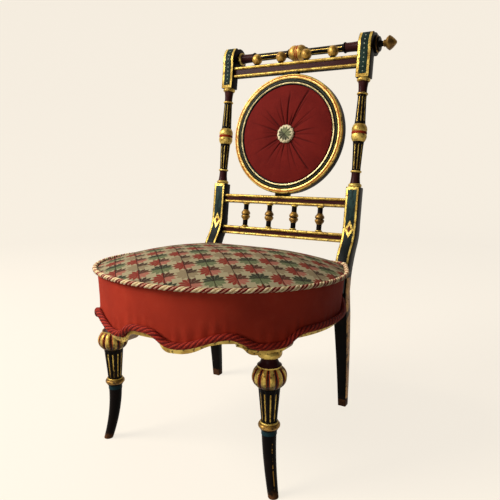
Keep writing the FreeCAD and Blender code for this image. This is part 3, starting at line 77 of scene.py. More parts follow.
def ease(value: float, low: float, high: float) -> float:
    """Give a smooth step from 0 at low to 1 at high."""
    share = min(1.0, max(0.0, (value - low) / (high - low)))
    return share * share * (3 - 2 * share)


def joined(operation: str) -> Callable[["Value", "Value | float"], "Value"]:
    """Give the method of a value that adds one kind of Math node.

    Args:
        operation: What the node does.

    Returns:
        The method.
    """
    def method(first: "Value", second: "Value | float") -> "Value":
        """Add the node."""
        return first.tree.math(operation, first, second)

    return method


class Value:
    """A number socket of a shader, whose arithmetic adds Math nodes."""

    def __init__(self, tree: "ShaderTree", socket: bpy.types.NodeSocket) -> None:
        """Wrap a socket of a tree."""
        self.tree = tree
        self.socket = socket

    __add__ = __radd__ = joined("ADD")
    __sub__ = joined("SUBTRACT")
    __mul__ = __rmul__ = joined("MULTIPLY")
    __truediv__ = joined("DIVIDE")
    __mod__ = joined("FLOORED_MODULO")
    __lt__ = joined("LESS_THAN")
    __gt__ = joined("GREATER_THAN")

    def __rsub__(self, other: float) -> "Value":
        """Take this away from a number."""
        return self.tree.math("SUBTRACT", other, self)

    def __abs__(self) -> "Value":
        """Give the size without its sign."""
        return self.tree.math("ABSOLUTE", self)


class ShaderTree:
    """The nodes of one material."""

    def __init__(self, name: str) -> None:
        """Start an empty material."""
        self.material = bpy.data.materials.new(name)
        self.material.use_nodes = True
        self.tree = self.material.node_tree
        self.tree.nodes.clear()

    def node(self, kind: str, settings: dict | None = None, inputs: dict | None = None) -> bpy.types.Node:
        """Add a node.

        Args:
            kind: Type of the node.
            settings: Values of its own properties, set first.
            inputs: Values or links of its sockets by name or number.

        Returns:
            The new node.
        """
        made = self.tree.nodes.new(kind)
        for name, value in (settings or {}).items():
            setattr(made, name, value)
        for name, value in (inputs or {}).items():
            socket = value.socket if isinstance(value, Value) else value
            if isinstance(socket, bpy.types.NodeSocket):
                self.tree.links.new(socket, made.inputs[name])
            else:
                made.inputs[name].default_value = socket
        return made

    def math(self, operation: str, *values: Value | float) -> Value:
        """Add a Math node on some values and give its result."""
        made = self.node("ShaderNodeMath", {"operation": operation}, dict(enumerate(values)))
        return Value(self, made.outputs[0])

    def reach(self, x: Value, y: Value) -> Value:
        """Give the distance of a point from the middle."""
        return self.math("SQRT", x * x + y * y)

    def sector(self, x: Value, y: Value, count: int) -> Value:
        """Give how far round a point is from the middle of its sector, up to a half of the sector."""
        turn = self.math("ARCTAN2", y, x) * (count / math.tau)
        return abs(turn % 1.0 - 0.5)

    def step(self, value: Value, low: float, high: float) -> Value:
        """Add a smooth step from 0 at low to 1 at high."""
        smooth = {"interpolation_type": "SMOOTHSTEP"}
        made = self.node("ShaderNodeMapRange", smooth, {0: value, 1: low, 2: high})
        return Value(self, made.outputs[0])

    def mix(self, share: Value | float, first: object, second: object) -> bpy.types.NodeSocket:
        """Mix a share of a second colour into a first, and give the mixed colour's socket."""
        inputs = {0: share, 6: first, 7: second}
        return self.node("ShaderNodeMix", {"data_type": "RGBA"}, inputs).outputs[2]

    def noise(self, scale: float, detail: float = 3.0, stretch: Sequence[float] = (1, 1, 1)) -> Value:
        """Add a noise over the piece.

        Args:
            scale: Spots in a metre.
            detail: How many finer layers it has.
            stretch: Scale along each axis.

        Returns:
            The noise, about a half on average.
        """
        spot = self.node("ShaderNodeTexCoord").outputs["Object"]
        turned = self.node("ShaderNodeMapping", {}, {"Vector": spot, "Scale": stretch}).outputs[0]
        made = self.node("ShaderNodeTexNoise", {}, {"Vector": turned, "Scale": scale, "Detail": detail})
        return Value(self, made.outputs[0])

    def attribute(self, name: str, output: str) -> bpy.types.NodeSocket:
        """Give a socket of one of the piece's own attributes."""
        return self.node("ShaderNodeAttribute", {"attribute_name": name}).outputs[output]

    def local(self) -> list[Value]:
        """Give a point's place in its own part, in millimetres."""
        parts = self.node("ShaderNodeSeparateXYZ", {}, {0: self.attribute("local", "Vector")}).outputs
        return [Value(self, part) for part in parts]

    def surface(self, colour: object, roughness: Value | float, metallic: Value | float = 0.0,
                height: Value | None = None, depth: float = 0.0005, specular: float = 0.5,
                fixed: dict | None = None) -> None:
        """Finish the material.

        Args:
            colour: Colour or colour socket.
            roughness: Number or socket.
            metallic: Number or socket.
            height: Relief of the surface.
            depth: Depth of the relief in metres.
            specular: Strength of its highlights.
            fixed: Values of other sockets, the same all over.
        """
        inputs = {"Base Color": colour, "Roughness": roughness, "Metallic": metallic,
                  "Specular IOR Level": specular, **(fixed or {})}
        if height is not None:
            relief = {"Strength": 1.0, "Distance": depth, "Height": height}
            inputs["Normal"] = self.node("ShaderNodeBump", {}, relief).outputs[0]
        made = self.node("ShaderNodeBsdfPrincipled", {}, inputs)
        self.node("ShaderNodeOutputMaterial", {}, {0: made.outputs[0]})


@dataclass(frozen=True)
class Finish:
    """A finish of the chair, whose material is made once."""

    name: str
    made: ClassVar[dict[str, bpy.types.Material]] = {}

    def material(self) -> bpy.types.Material:
        """Give the finish's material, painting it the first time."""
        if self.name not in Finish.made:
            tree = ShaderTree(self.name)
            self.paint(tree)
            Finish.made[self.name] = tree.material
        return Finish.made[self.name]

    def paint(self, tree: ShaderTree) -> None:
        """Paint the nodes of the finish."""
        raise NotImplementedError


@dataclass(frozen=True)
class Lacquer(Finish):
    """Satin paint over wood, black unless told otherwise, rubbed through to a worn colour in places."""

    colour: Colour = shade(10, 8, 8)
    worn: Colour = shade(46, 30, 21)
    wear: float = 0.35
    roughness: float = 0.3
    coat: float = 0.02

    def coloured(self, tree: ShaderTree) -> tuple[bpy.types.NodeSocket, Value, Value]:
        """Give the paint's colour, roughness and relief."""
        rubbed = tree.step(tree.noise(38, 6), 0.56, 0.72) * self.wear
        fine = tree.noise(700, 4)
        clouded = tree.mix(tree.step(tree.noise(14, 2), 0.35, 0.65) * 0.15, self.colour, self.worn)
        colour = tree.mix(rubbed, clouded, self.worn)
        return colour, self.roughness + rubbed * 0.18 + (fine - 0.5) * 0.16, fine

    def varnish(self, tree: ShaderTree, colour: bpy.types.NodeSocket, rough: Value, metal: Value | float,
                relief: Value) -> None:
        """Finish the material under a thin old varnish."""
        thin = {"Coat Weight": self.coat, "Coat Roughness": 0.2}
        tree.surface(colour, rough, metal, relief, 0.0001, 0.022, thin)

    def gilded(self, tree: ShaderTree, mask: Value, gilding: "Gilding") -> None:
        """Finish the material with gilding laid over the paint.

        Args:
            tree: Where the nodes go.
            mask: Where the gilding lies.
            gilding: The gilding.
        """
        colour, rough, fine = self.coloured(tree)
        gold, gold_rough, metal, _ = gilding.coloured(tree)
        rough = rough * (1 - mask) + gold_rough * mask
        self.varnish(tree, tree.mix(mask, colour, gold), rough, metal * mask, fine)

    def paint(self, tree: ShaderTree) -> None:
        """Paint the nodes of the finish."""
        colour, rough, fine = self.coloured(tree)
        self.varnish(tree, colour, rough, 0.0, fine)


@dataclass(frozen=True)
class Gilding(Finish):
    """Worn gold leaf, rubbed dull in clouds and flecked with the dark ground under it."""

    bright: Colour = shade(214, 184, 96)
    deep: Colour = shade(164, 130, 58)
    ground: Colour = shade(40, 23, 14)
    flecks: float = 0.8

    def coloured(self, tree: ShaderTree) -> tuple[bpy.types.NodeSocket, Value, Value, Value]:
        """Give the gilding's colour, roughness, metal and relief."""
        cloud = tree.step(tree.noise(55, 4), 0.36, 0.64)
        lost = tree.step(tree.noise(230, 6), 0.565, 0.65) * self.flecks
        colour = tree.mix(lost, tree.mix(cloud, self.deep, self.bright), self.ground)
        relief = tree.noise(420, 3) - lost * 0.6
        return colour, 0.36 + lost * 0.3 + cloud * 0.06, (1 - lost) * 0.55, relief

    def paint(self, tree: ShaderTree) -> None:
        """Paint the nodes of the finish."""
        colour, rough, metal, relief = self.coloured(tree)
        tree.surface(colour, rough, metal, relief, 0.0002, 0.2)


@dataclass(frozen=True)
class FlutedLacquer(Lacquer):
    """Black paint down a fluted shaft, with a gilt line along the middle of each flute."""

    flutes: int = 8
    low: float = 0.0
    high: float = 1.0
    line: float = 0.8
    gilding: Gilding = Gilding("shaft_gilding")

    def paint(self, tree: ShaderTree) -> None:
        """Paint the nodes of the finish."""
        x, y, z = tree.local()
        away = tree.sector(x, y, self.flutes) * tree.reach(x, y) * (math.tau / self.flutes)
        line = (1 - tree.step(away, self.line * 0.7, self.line * 1.3)) * (z > self.low) * (z < self.high)
        line = line * (1 - tree.step(tree.noise(60, 5), 0.58, 0.66) * 0.7)
        self.gilded(tree, line, self.gilding)


@dataclass(frozen=True)
class LinedFoot(Lacquer):
    """Black paint down a sabre foot, with a broken gilt line along its outer side and a worn tip."""

    low: float = 16.0
    high: float = 98.0
    tip: float = 9.0

    def paint(self, tree: ShaderTree) -> None:
        """Paint the nodes of the finish."""
        colour, rough, fine = self.coloured(tree)
        x, y, z = tree.local()
        line = (1 - tree.step(abs(y), 0.5, 1.1)) * (z > self.low) * (z < self.high) * (x > 0.0)
        line = line * (1 - tree.step(tree.noise(130, 3), 0.52, 0.6))
        ragged = z + (tree.noise(90, 4) - 0.5) * 22
        worn = (1 - tree.step(ragged, self.tip * 0.5, self.tip * 1.5)) * 0.85
        colour = tree.mix(worn, tree.mix(line * 0.8, colour, shade(168, 126, 58)), shade(92, 58, 34))
        self.varnish(tree, colour, rough + worn * 0.2, line * 0.4, fine)


@dataclass(frozen=True)
class GadroonGilding(Gilding):
    """Gilding over gadroons, flecked with painted shade below, with red paint in the hollows and black at
    their deepest.
    """

    gadroons: int = 12
    hollow: Colour = shade(152, 58, 20)
    low: float = 200.0
    # How far above its foot the painted shade on the underside reaches, in millimetres
    shaded_rise: float = 26.0

    def paint(self, tree: ShaderTree) -> None:
        """Paint the nodes of the finish."""
        gold, rough, metal, relief = self.coloured(tree)
        x, y, z = tree.local()
        away = tree.sector(x, y, self.gadroons)
        painted = tree.step(away, 0.22, 0.32)
        dark = tree.mix(tree.step(away, 0.36, 0.44), self.hollow, shade(14, 9, 8))
        # Painted shade: the melon's underside near its foot is darkened in noisy flecks.
        underside = 1 - tree.step(z, self.low + 2, self.low + self.shaded_rise)
        underside_shade = underside * tree.step(tree.noise(130, 5), 0.36, 0.52) * 0.85
        colour = tree.mix(underside_shade, tree.mix(painted, gold, dark), shade(34, 22, 14))
        tree.surface(colour, rough, metal * (1 - painted) * (1 - underside_shade), relief, 0.0002, 0.1)


class Ornament(Enum):
    """What is painted down the middle of a block's panel."""

    DOTS = "dots"
    LOZENGE = "lozenge"


@dataclass(frozen=True)
class Panel(Finish):
    """Painted panel on the front of a block, in a broad gilt border."""

    ornament: Ornament
    ground: Colour
    # Ground colour towards the foot: painted shade on the lower block, where the panel runs down beside the
    # seat; a slightly lighter tone on the upper block.
    foot_ground_and_shade: Colour
    half_width: float
    border: float = 5.0
    foot_border: float = 6.5
    low: float = 0.0
    high: float = 1.0
    fade: float = 0.0
    fade_length: float = 45.0
    first_dot: float = 12.0
    dot_pitch: float = 10.2
    dots_end: float = 30.0
    lozenge_drop: float = 91.0
    lozenge: Point = (9.6, 18.5)
    gilding: Gilding = Gilding("panel_gilding")

    def paint(self, tree: ShaderTree) -> None:
        """Paint the nodes of the finish."""
        gold, rough, metal, relief = self.gilding.coloured(tree)
        x, _, lift = tree.local()
        across, half_panel = abs(x), self.half_width - self.border
        inside = 1 - tree.step(across, half_panel - 0.9, half_panel - 0.3)
        inside = inside * (lift > self.low + self.foot_border) * (lift < self.high)
        edge = tree.step(across, self.half_width - 1.5, self.half_width - 0.9)
        mottle = tree.step(tree.noise(150, 6, (1, 1, 0.35)), 0.42, 0.58)
        # The ground blends up from its foot colour, which is painted shade on the lower block.
        ground = tree.mix(tree.step(lift, self.low + 40, self.high + 20), self.foot_ground_and_shade, self.ground)
        ground = tree.mix(mottle * 0.9, ground, tree.mix(0.7, ground, shade(12, 18, 18)))
        gilt = (1 - inside) * (1 - edge)
        if self.ornament is Ornament.DOTS:
            along = (lift - self.low - self.first_dot) / self.dot_pitch
            beside = (along - tree.math("ROUND", along)) * self.dot_pitch
            dot = 1 - tree.step(tree.reach(x, beside), 1.0, 1.7)
            dot = dot * (lift < self.high - self.dots_end) * inside
            ground = tree.mix(dot * 0.85, ground, shade(152, 160, 134))
        else:
            middle = self.high - self.lozenge_drop
            away = across / self.lozenge[0] + abs(lift - middle) / self.lozenge[1]
            outline = 1 - tree.step(away, 1.06, 1.16)
            core = 1 - tree.step(away, 0.42, 0.52)
            around = (1 - tree.step(away, 1.2, 1.5)) * inside
            ground = tree.mix(around * 0.8, ground, shade(24, 26, 24))
            ground = tree.mix(core * inside, ground, shade(84, 40, 28))
            gilt = tree.math("MAXIMUM", gilt, outline * (1 - core))
        if self.fade:
            gilt = gilt * tree.step(lift, self.fade, self.fade + self.fade_length)
        ground = tree.mix(edge * (1 - inside), ground, shade(26, 18, 14))
        rough = rough * gilt + 0.42 * (1 - gilt)
        tree.surface(tree.mix(gilt, ground, gold), rough, metal * gilt, relief + gilt * 1.2, 0.0003, 0.05)


@dataclass(frozen=True)
class StripedLacquer(Lacquer):
    """Black paint with a broad worn gilt stripe along a leg's outer side."""

    half_stripe: float = 0.96
    low: float = -505.0
    high: float = -205.0
    end: float = 4.0
    gilding: Gilding = Gilding("stripe_gilding", shade(170, 122, 56), shade(118, 80, 36), shade(36, 22, 14),
                               0.9)

    def paint(self, tree: ShaderTree) -> None:
        """Paint the nodes of the finish."""
        _, across, lift = tree.local()
        stripe = 1 - tree.step(abs(across), self.half_stripe - 0.05, self.half_stripe + 0.05)
        stripe = stripe * tree.step(lift, self.low, self.low + self.end)
        stripe = stripe * (1 - tree.step(lift, self.high - self.end, self.high))
        stripe = stripe * (1 - tree.step(tree.noise(32, 6), 0.57, 0.64) * 0.8)
        self.gilded(tree, stripe, self.gilding)


@dataclass(frozen=True)
class Velvet(Finish):
    """Short pile that lies in clouds, with painted shade darkening its creases where asked."""

    colour: Colour
    deep: Colour
    pale: Colour
    shade_in_creases: bool = False

    def paint(self, tree: ShaderTree) -> None:
        """Paint the nodes of the finish."""
        nap = tree.step(tree.noise(16, 4), 0.3, 0.7)
        pile = tree.noise(1300, 3)
        colour = tree.mix(0.45 + nap * 0.55, self.deep, self.colour)
        colour = tree.mix(tree.step(tree.noise(60, 5), 0.5, 0.8) * 0.3, colour, self.pale)
        colour = tree.mix(tree.step(pile, 0.45, 0.7) * 0.25, colour, self.deep)
        # Painted shade: a per-point attribute of the pleats darkens the pile in the creases.
        if self.shade_in_creases:
            crease = Value(tree, tree.attribute("crease", "Fac"))
            colour = tree.mix(crease, colour, tree.mix(0.75, self.deep, shade(20, 3, 4)))
        sheen = {"Sheen Weight": 0.06, "Sheen Roughness": 0.35, "Sheen Tint": self.pale}
        tree.surface(colour, 0.85 + (pile - 0.5) * 0.2, 0.0, pile, 0.0008, 0.08, sheen)


@dataclass(frozen=True)
class LeafCloth(Finish):
    """Woven cloth with rows of toothed leaves in turn, each halved along a dark stem."""

    shift: Point = (0.0, 0.0)
    first: Point = (27.0, -55.0)
    period: float = 55.5
    leaf: float = 22.0
    teeth: int = 12
    weft: float = 1.5
    warp: float = 1.2
    ground: Colour = shade(164, 152, 118)

    def leaf_at(self, tree: ShaderTree, x: Value, y: Value, offset: float) -> tuple[Value, ...]:
        """Give the nearest leaf of one lattice.

        Args:
            tree: Where the nodes go.
            x: Place across, in millimetres.
            y: Place back, in millimetres.
            offset: How far the lattice is moved both ways.

        Returns:
            Mask of the leaf, the sides of its stem and of its waist, its stem and the parity of its row.
        """
        across = (x - (self.first[0] + offset)) / self.period
        back = (y - (self.first[1] + offset)) / self.period
        column, row = tree.math("ROUND", across), tree.math("ROUND", back)
        dx, dy = (across - column) * self.period, (back - row) * self.period
        along, beside = (dx - dy) * math.sqrt(0.5), (dx + dy) * math.sqrt(0.5)
        reach = tree.reach(along, beside)
        tooth = tree.sector(along, beside, self.teeth) * 2
        edge = self.leaf * 0.70 + tooth * (self.leaf * 0.30)
        mask = tree.step(edge - reach, -0.7, 0.7)
        vein = tree.step(1 - tooth, 0.72, 0.95) * tree.step(reach, 4.0, 9.0)
        stem = (1 - tree.step(abs(beside), 0.5, 1.1)) * (reach < self.leaf * 1.12)
        return mask * (1 - vein * 0.3), beside > 0, along > 0, stem, (column + row) % 2.0

    def paint(self, tree: ShaderTree) -> None:
        """Paint the nodes of the finish."""
        x, y, _ = tree.local()
        wobble = (tree.noise(240, 2) - 0.5) * 4.0
        x, y = x + self.shift[0] + wobble, y + self.shift[1] - wobble
        red, red_side, red_tip, red_stem, _ = self.leaf_at(tree, x, y, 0.0)
        other, side, tip, stem, row = self.leaf_at(tree, x, y, self.period / 2)
        blush = tree.mix(red_tip, shade(64, 12, 14), shade(158, 88, 74))
        red_leaf = tree.mix(red_side, shade(124, 20, 17), blush)
        green_leaf = tree.mix(tip, shade(18, 34, 25), shade(92, 102, 68))
        maroon_leaf = tree.mix(side * (1 - tip), shade(132, 114, 86), shade(46, 14, 16))
        other_leaf = tree.mix(row > 0.5, green_leaf, maroon_leaf)
        cloud = tree.step(tree.noise(18, 3), 0.35, 0.68)
        ground = tree.mix(cloud * 0.4, self.ground, shade(138, 130, 102))
        colour = tree.mix(other * 0.92, ground, other_leaf)
        colour = tree.mix(red * 0.92, colour, red_leaf)
        colour = tree.mix(tree.math("MAXIMUM", red_stem, stem) * 0.85, colour, shade(44, 28, 24))
        weft = tree.math("SINE", y * (math.tau / self.weft))
        warp = tree.math("SINE", x * (math.tau / self.warp))
        thread = weft * 0.5 + warp * weft * 0.5
        between = tree.mix(0.5, colour, shade(60, 48, 38))
        colour = tree.mix(tree.step(thread, -0.2, 0.9) * 0.3, colour, between)
        tree.surface(colour, 0.9, 0.0, thread * 0.5 + tree.noise(900, 2), 0.0005, 0.1)


@dataclass(frozen=True)
class Twist(Finish):
    """Silky thread of a twisted cord."""

    colour: Colour
    deep: Colour

    def paint(self, tree: ShaderTree) -> None:
        """Paint the nodes of the finish."""
        thread = tree.noise(900, 3, (1, 1, 0.35))
        colour = tree.mix(tree.step(thread, 0.4, 0.62), self.deep, self.colour)
        colour = tree.mix(tree.step(tree.noise(45, 3), 0.5, 0.7) * 0.4, colour, self.deep)
        tree.surface(colour, 0.62 + (thread - 0.5) * 0.2, 0.0, thread, 0.0005, 0.08)


@dataclass(frozen=True)
class PlainWeave(Finish):
    """Plain woven cloth."""

    colour: Colour
    deep: Colour
    pitch: float = 1.6

    def paint(self, tree: ShaderTree) -> None:
        """Paint the nodes of the finish."""
        x, y, _ = tree.local()
        weft, warp = (tree.math("SINE", way * (math.tau / self.pitch)) for way in (x, y))
        thread = weft * warp
        slub = tree.noise(160, 4)
        colour = tree.mix(tree.step(thread + (slub - 0.5) * 2, -0.7, 0.7), self.deep, self.colour)
        tree.surface(colour, 0.9, 0.0, thread, 0.0004, 0.2)


@dataclass(frozen=True)
class BareWood(Finish):
    """Planed beech of the hidden frame."""

    colour: Colour = shade(178, 136, 92)
    deep: Colour = shade(134, 94, 58)

    def paint(self, tree: ShaderTree) -> None:
        """Paint the nodes of the finish."""
        grain = tree.noise(90, 6, (0.15, 1, 1))
        colour = tree.mix(tree.step(grain, 0.36, 0.66), self.deep, self.colour)
        tree.surface(colour, 0.55 + (grain - 0.5) * 0.2, 0.0, grain, 0.0003)


@dataclass(frozen=True)
class Steel(Finish):
    """Drawn steel of the springs and screws."""

    colour: Colour = shade(150, 148, 142)
    rust: Colour = shade(92, 62, 42)

    def paint(self, tree: ShaderTree) -> None:
        """Paint the nodes of the finish."""
        spots = tree.step(tree.noise(120, 5), 0.56, 0.7)
        colour = tree.mix(spots, self.colour, self.rust)
        tree.surface(colour, 0.35 + spots * 0.4, 0.9 - spots * 0.7, tree.noise(600, 3), 0.0001)


@dataclass(frozen=True)
class Backdrop(Finish):
    """Seamless warm white paper."""

    colour: Colour = shade(108, 101, 90)
    grain: Colour = shade(99, 93, 83)
    glow: Colour = shade(255, 247, 234)

    def paint(self, tree: ShaderTree) -> None:
        """Paint the nodes of the finish."""
        colour = tree.mix(tree.noise(8, 2) * 0.1, self.colour, self.grain)
        lit = {"Emission Color": self.glow, "Emission Strength": 0.85}
        tree.surface(colour, 0.9, specular=0.0, fixed=lit)


BLACK = Lacquer("ebonised_black", wear=0.28)
FOOT = Lacquer("worn_foot", shade(70, 44, 28), shade(112, 72, 42), 0.8, 0.5, 0.0)
MAROON = Lacquer("maroon_paint", shade(50, 22, 22), shade(84, 50, 42))
RED_BAND = Lacquer("red_band", shade(142, 44, 22), shade(92, 36, 20), 0.5)
TEAL = Lacquer("teal_band", shade(26, 52, 58), shade(22, 28, 28), 0.5)
GREEN_LINE = Lacquer("green_line", shade(62, 70, 54), shade(34, 38, 30), 0.4)
ORANGE_LINE = Lacquer("orange_line", shade(168, 88, 30), shade(104, 50, 20), 0.4)
SLATE = Lacquer("slate_cove", shade(50, 62, 68), shade(34, 38, 40), 0.5, 0.45)
GILT = Gilding("gilding")
DULL_GILT = Gilding("dull_gilding", shade(164, 124, 56), shade(96, 68, 30), shade(30, 20, 13), 0.8)
# A darker copy of the gilding for the crest bulb and balls: painted shade that tones down the stronger light
# at the top of the back.
SHADED_BALL_GILT = Gilding("shaded_ball_gilding", shade(190, 150, 70), shade(132, 96, 40), shade(40, 24, 14), 0.7)
PALE_GILT = Gilding("pale_gilding", shade(176, 162, 116), shade(134, 120, 80), shade(60, 48, 30), 0.5)
LINE_GILT = Gilding("line_gilding", shade(224, 190, 112), shade(196, 156, 82), shade(70, 40, 20), 0.5)
BEECH = BareWood("beech")
STEEL = Steel("steel")


def bowed(first: Point, last: Point, swell: float, share: float) -> Point:
    """Give a point of a shallow bow between two points.

    Args:
        first: Where the bow starts.
        last: Where it ends.
        swell: How far it swells to the right of the way.
        share: Share of the way.

    Returns:
        The point.
    """
    du, dv = last[0] - first[0], last[1] - first[1]
    size = math.hypot(du, dv) or 1.0
    out = 4 * swell * share * (1 - share) / size
    return first[0] + du * share + dv * out, first[1] + dv * share - du * out


def rim(reach: float, level: float, count: int, out: float = 0.0) -> list[Vector]:
    """Give points round a flat circle, whose middle lies out along X."""
    turns = [math.tau * index / count for index in range(count)]
    return [Vector((out + reach * math.cos(turn), reach * math.sin(turn), level)) for turn in turns]


def weld(part: bmesh.types.BMesh, near: float = WELD) -> None:
    """Weld a part's doubled points and turn its faces outwards."""
    bmesh.ops.remove_doubles(part, verts=part.verts, dist=near)
    bmesh.ops.recalc_face_normals(part, faces=part.faces)


def rub(part: bmesh.types.BMesh, width: float, angle: float) -> None:
    """Rub down a part's edges where it turns by more than an angle in degrees."""
    sharp = [edge for edge in part.edges if edge.calc_face_angle(0.0) > math.radians(angle)]
    bmesh.ops.bevel(part, geom=sharp, offset=width, offset_type="OFFSET", segments=2, profile=0.5,
                    affect="EDGES", material=-1)


def spin(part: bmesh.types.BMesh, outline: Sequence[Point], steps: int, angle: float = math.tau) -> None:
    """Spin an outline about the Z axis.

    Args:
        part: The part that takes the faces.
        outline: Reach and level of its points.
        steps: How many steps the spin has.
        angle: How far it goes, in radians.
    """
    verts: list[bmesh.types.BMVert] = []
    for reach, level in outline:
        if not verts or (verts[-1].co - Vector((reach, 0, level))).length > WELD / 10:
            verts.append(part.verts.new((reach, 0, level)))
    edges = [part.edges.new(pair) for pair in zip(verts, verts[1:])]
    bmesh.ops.spin(part, geom=verts + edges, cent=(0, 0, 0), axis=(0, 0, 1), dvec=(0, 0, 0), angle=angle,
                   steps=steps, use_merge=angle == math.tau, use_normal_flip=False, use_duplicate=False)


def loft(rings: Sequence[Sequence[Vector]], bands: Sequence[int] = ()) -> bmesh.types.BMesh:
    """Draw a skin through rings of points by extruding the first one from ring to ring.

    Args:
        rings: Rings with one number of points each.
        bands: Finish number of each length between rings.

    Returns:
        A closed mesh.
    """
    part = bmesh.new()
    loop = bmesh.ops.create_circle(part, cap_ends=True, segments=len(rings[0]), radius=1.0)["verts"]
    for vert, point in zip(loop, rings[0]):
        vert.co = point
    edges = list(part.edges)
    for index, ring in enumerate(rings[1:]):
        made = bmesh.ops.extrude_edge_only(part, edges=edges)["geom"]
        fresh = {item for item in made if isinstance(item, bmesh.types.BMVert)}
        loop = [next(e.other_vert(v) for e in v.link_edges if e.other_vert(v) in fresh) for v in loop]
        for vert, point in zip(loop, ring):
            vert.co = point
        for item in made:
            if isinstance(item, bmesh.types.BMFace) and bands:
                item.material_index = bands[index]
        edges = [item for item in made if isinstance(item, bmesh.types.BMEdge) and set(item.verts) <= fresh]
    for face in bmesh.ops.contextual_create(part, geom=edges)["faces"]:
        face.material_index = bands[-1] if bands else 0
    weld(part)
    return part


def curved(name: str, kind: str, points: Sequence[Vector], tube: float = 0.0) -> bmesh.types.BMesh:
    """Draw a closed curve.

    Args:
        name: Name of the curve.
        kind: Kind of its spline.
        points: Points that guide it.
        tube: Radius of a tube round it.

    Returns:
        A mesh of the line, or of the tube.
    """
    curve = bpy.data.curves.new(name, "CURVE")
    curve.dimensions = "3D"
    curve.bevel_depth = tube
    curve.bevel_resolution = 2
    line = curve.splines.new(kind)
    line.points.add(len(points) - 1)
    for point, place in zip(line.points, points):
        point.co = (*place, 1.0)
    line.use_cyclic_u = True
    line.order_u = 3
    line.resolution_u = 12
    holder = bpy.data.objects.new(name, curve)
    mesh = bpy.data.meshes.new_from_object(holder)
    part = bmesh.new()
    part.from_mesh(mesh)
    bpy.data.objects.remove(holder)
    bpy.data.curves.remove(curve)
    bpy.data.meshes.remove(mesh)
    return part


def stretched(outline: Sequence[Vector], hem: float, level: float, sag: float) -> bmesh.types.BMesh:
    """Stretch a cloth inside an outline.

    Args:
        outline: Points of its tacked edge.
        hem: Width of the border that slopes to its middle.
        level: Level of its edge.
        sag: How much higher its middle lies.

    Returns:
        A sheet with no thickness.
    """
    part = bmesh.new()
    edge = bmesh.ops.create_circle(part, cap_ends=True, segments=len(outline), radius=1.0)["verts"]
    for vert, point in zip(edge, outline):
        vert.co = point
    bmesh.ops.inset_region(part, faces=part.faces, thickness=hem)
    for vert in part.verts:
        vert.co.z = level if vert in edge else level + sag
    bmesh.ops.recalc_face_normals(part, faces=part.faces)
    return part


def area(part: bmesh.types.BMesh) -> float:
    """Give the area of a part in square metres."""
    return sum(face.calc_area() for face in part.faces) * MM ** 2


def linked(name: str, data: bpy.types.ID) -> bpy.types.Object:
    """Make an object and link it into the scene."""
    made = bpy.data.objects.new(name, data)
    bpy.context.scene.collection.objects.link(made)
    return made


def places(made: bpy.types.Object) -> list[Vector]:
    """Give the place of each point of a piece in its own part, in millimetres."""
    return [Vector(item.vector) for item in made.data.attributes["local"].data]


class Piece:
    """One piece of the scene, joined from parts that keep their own coordinates for the finishes."""

    def __init__(self, name: str, slot: str) -> None:
        """Start an empty piece, keeping the name of its slot."""
        self.name = name
        self.slot = slot
        self.mesh = bmesh.new()
        self.mesh.verts.layers.float_vector.new("local")
        self.finishes: list[Finish] = []

    def number(self, finish: Finish) -> int:
        """Give the slot number of a finish on this piece."""
        if finish not in self.finishes:
            self.finishes.append(finish)
        return self.finishes.index(finish)

    def add(self, part: bmesh.types.BMesh, place: Matrix) -> None:
        """Join a part in, keeping each point's place in the part for its finishes, unless it has one.

        Args:
            part: The part in its own frame, which is used up.
            place: Where the part goes.
        """
        layer = part.verts.layers.float_vector.get("local")
        if layer is None:
            layer = part.verts.layers.float_vector.new("local")
            for vert in part.verts:
                vert[layer] = vert.co
        part.transform(place)
        for edge in part.edges:
            edge.smooth = edge.calc_face_angle(0.0) < SHARP
        for face in part.faces:
            face.smooth = True
        scratch = bpy.data.meshes.new("scratch")
        part.to_mesh(scratch)
        part.free()
        self.mesh.from_mesh(scratch)
        bpy.data.meshes.remove(scratch)

    def place(self, *nodes: str) -> bpy.types.Object:
        """Make the piece's object.

        Args:
            nodes: CAD nodes that it stands for.

        Returns:
            The object, riding on the chair.
        """
        mesh = bpy.data.meshes.new(self.name)
        self.mesh.to_mesh(mesh)
        self.mesh.free()
        for finish in self.finishes:
            mesh.materials.append(finish.material())
        made = linked(self.name, mesh)
        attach(made, "root")
        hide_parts(*nodes)
        log.info("%s: %d faces", self.name, len(mesh.polygons))
        return made


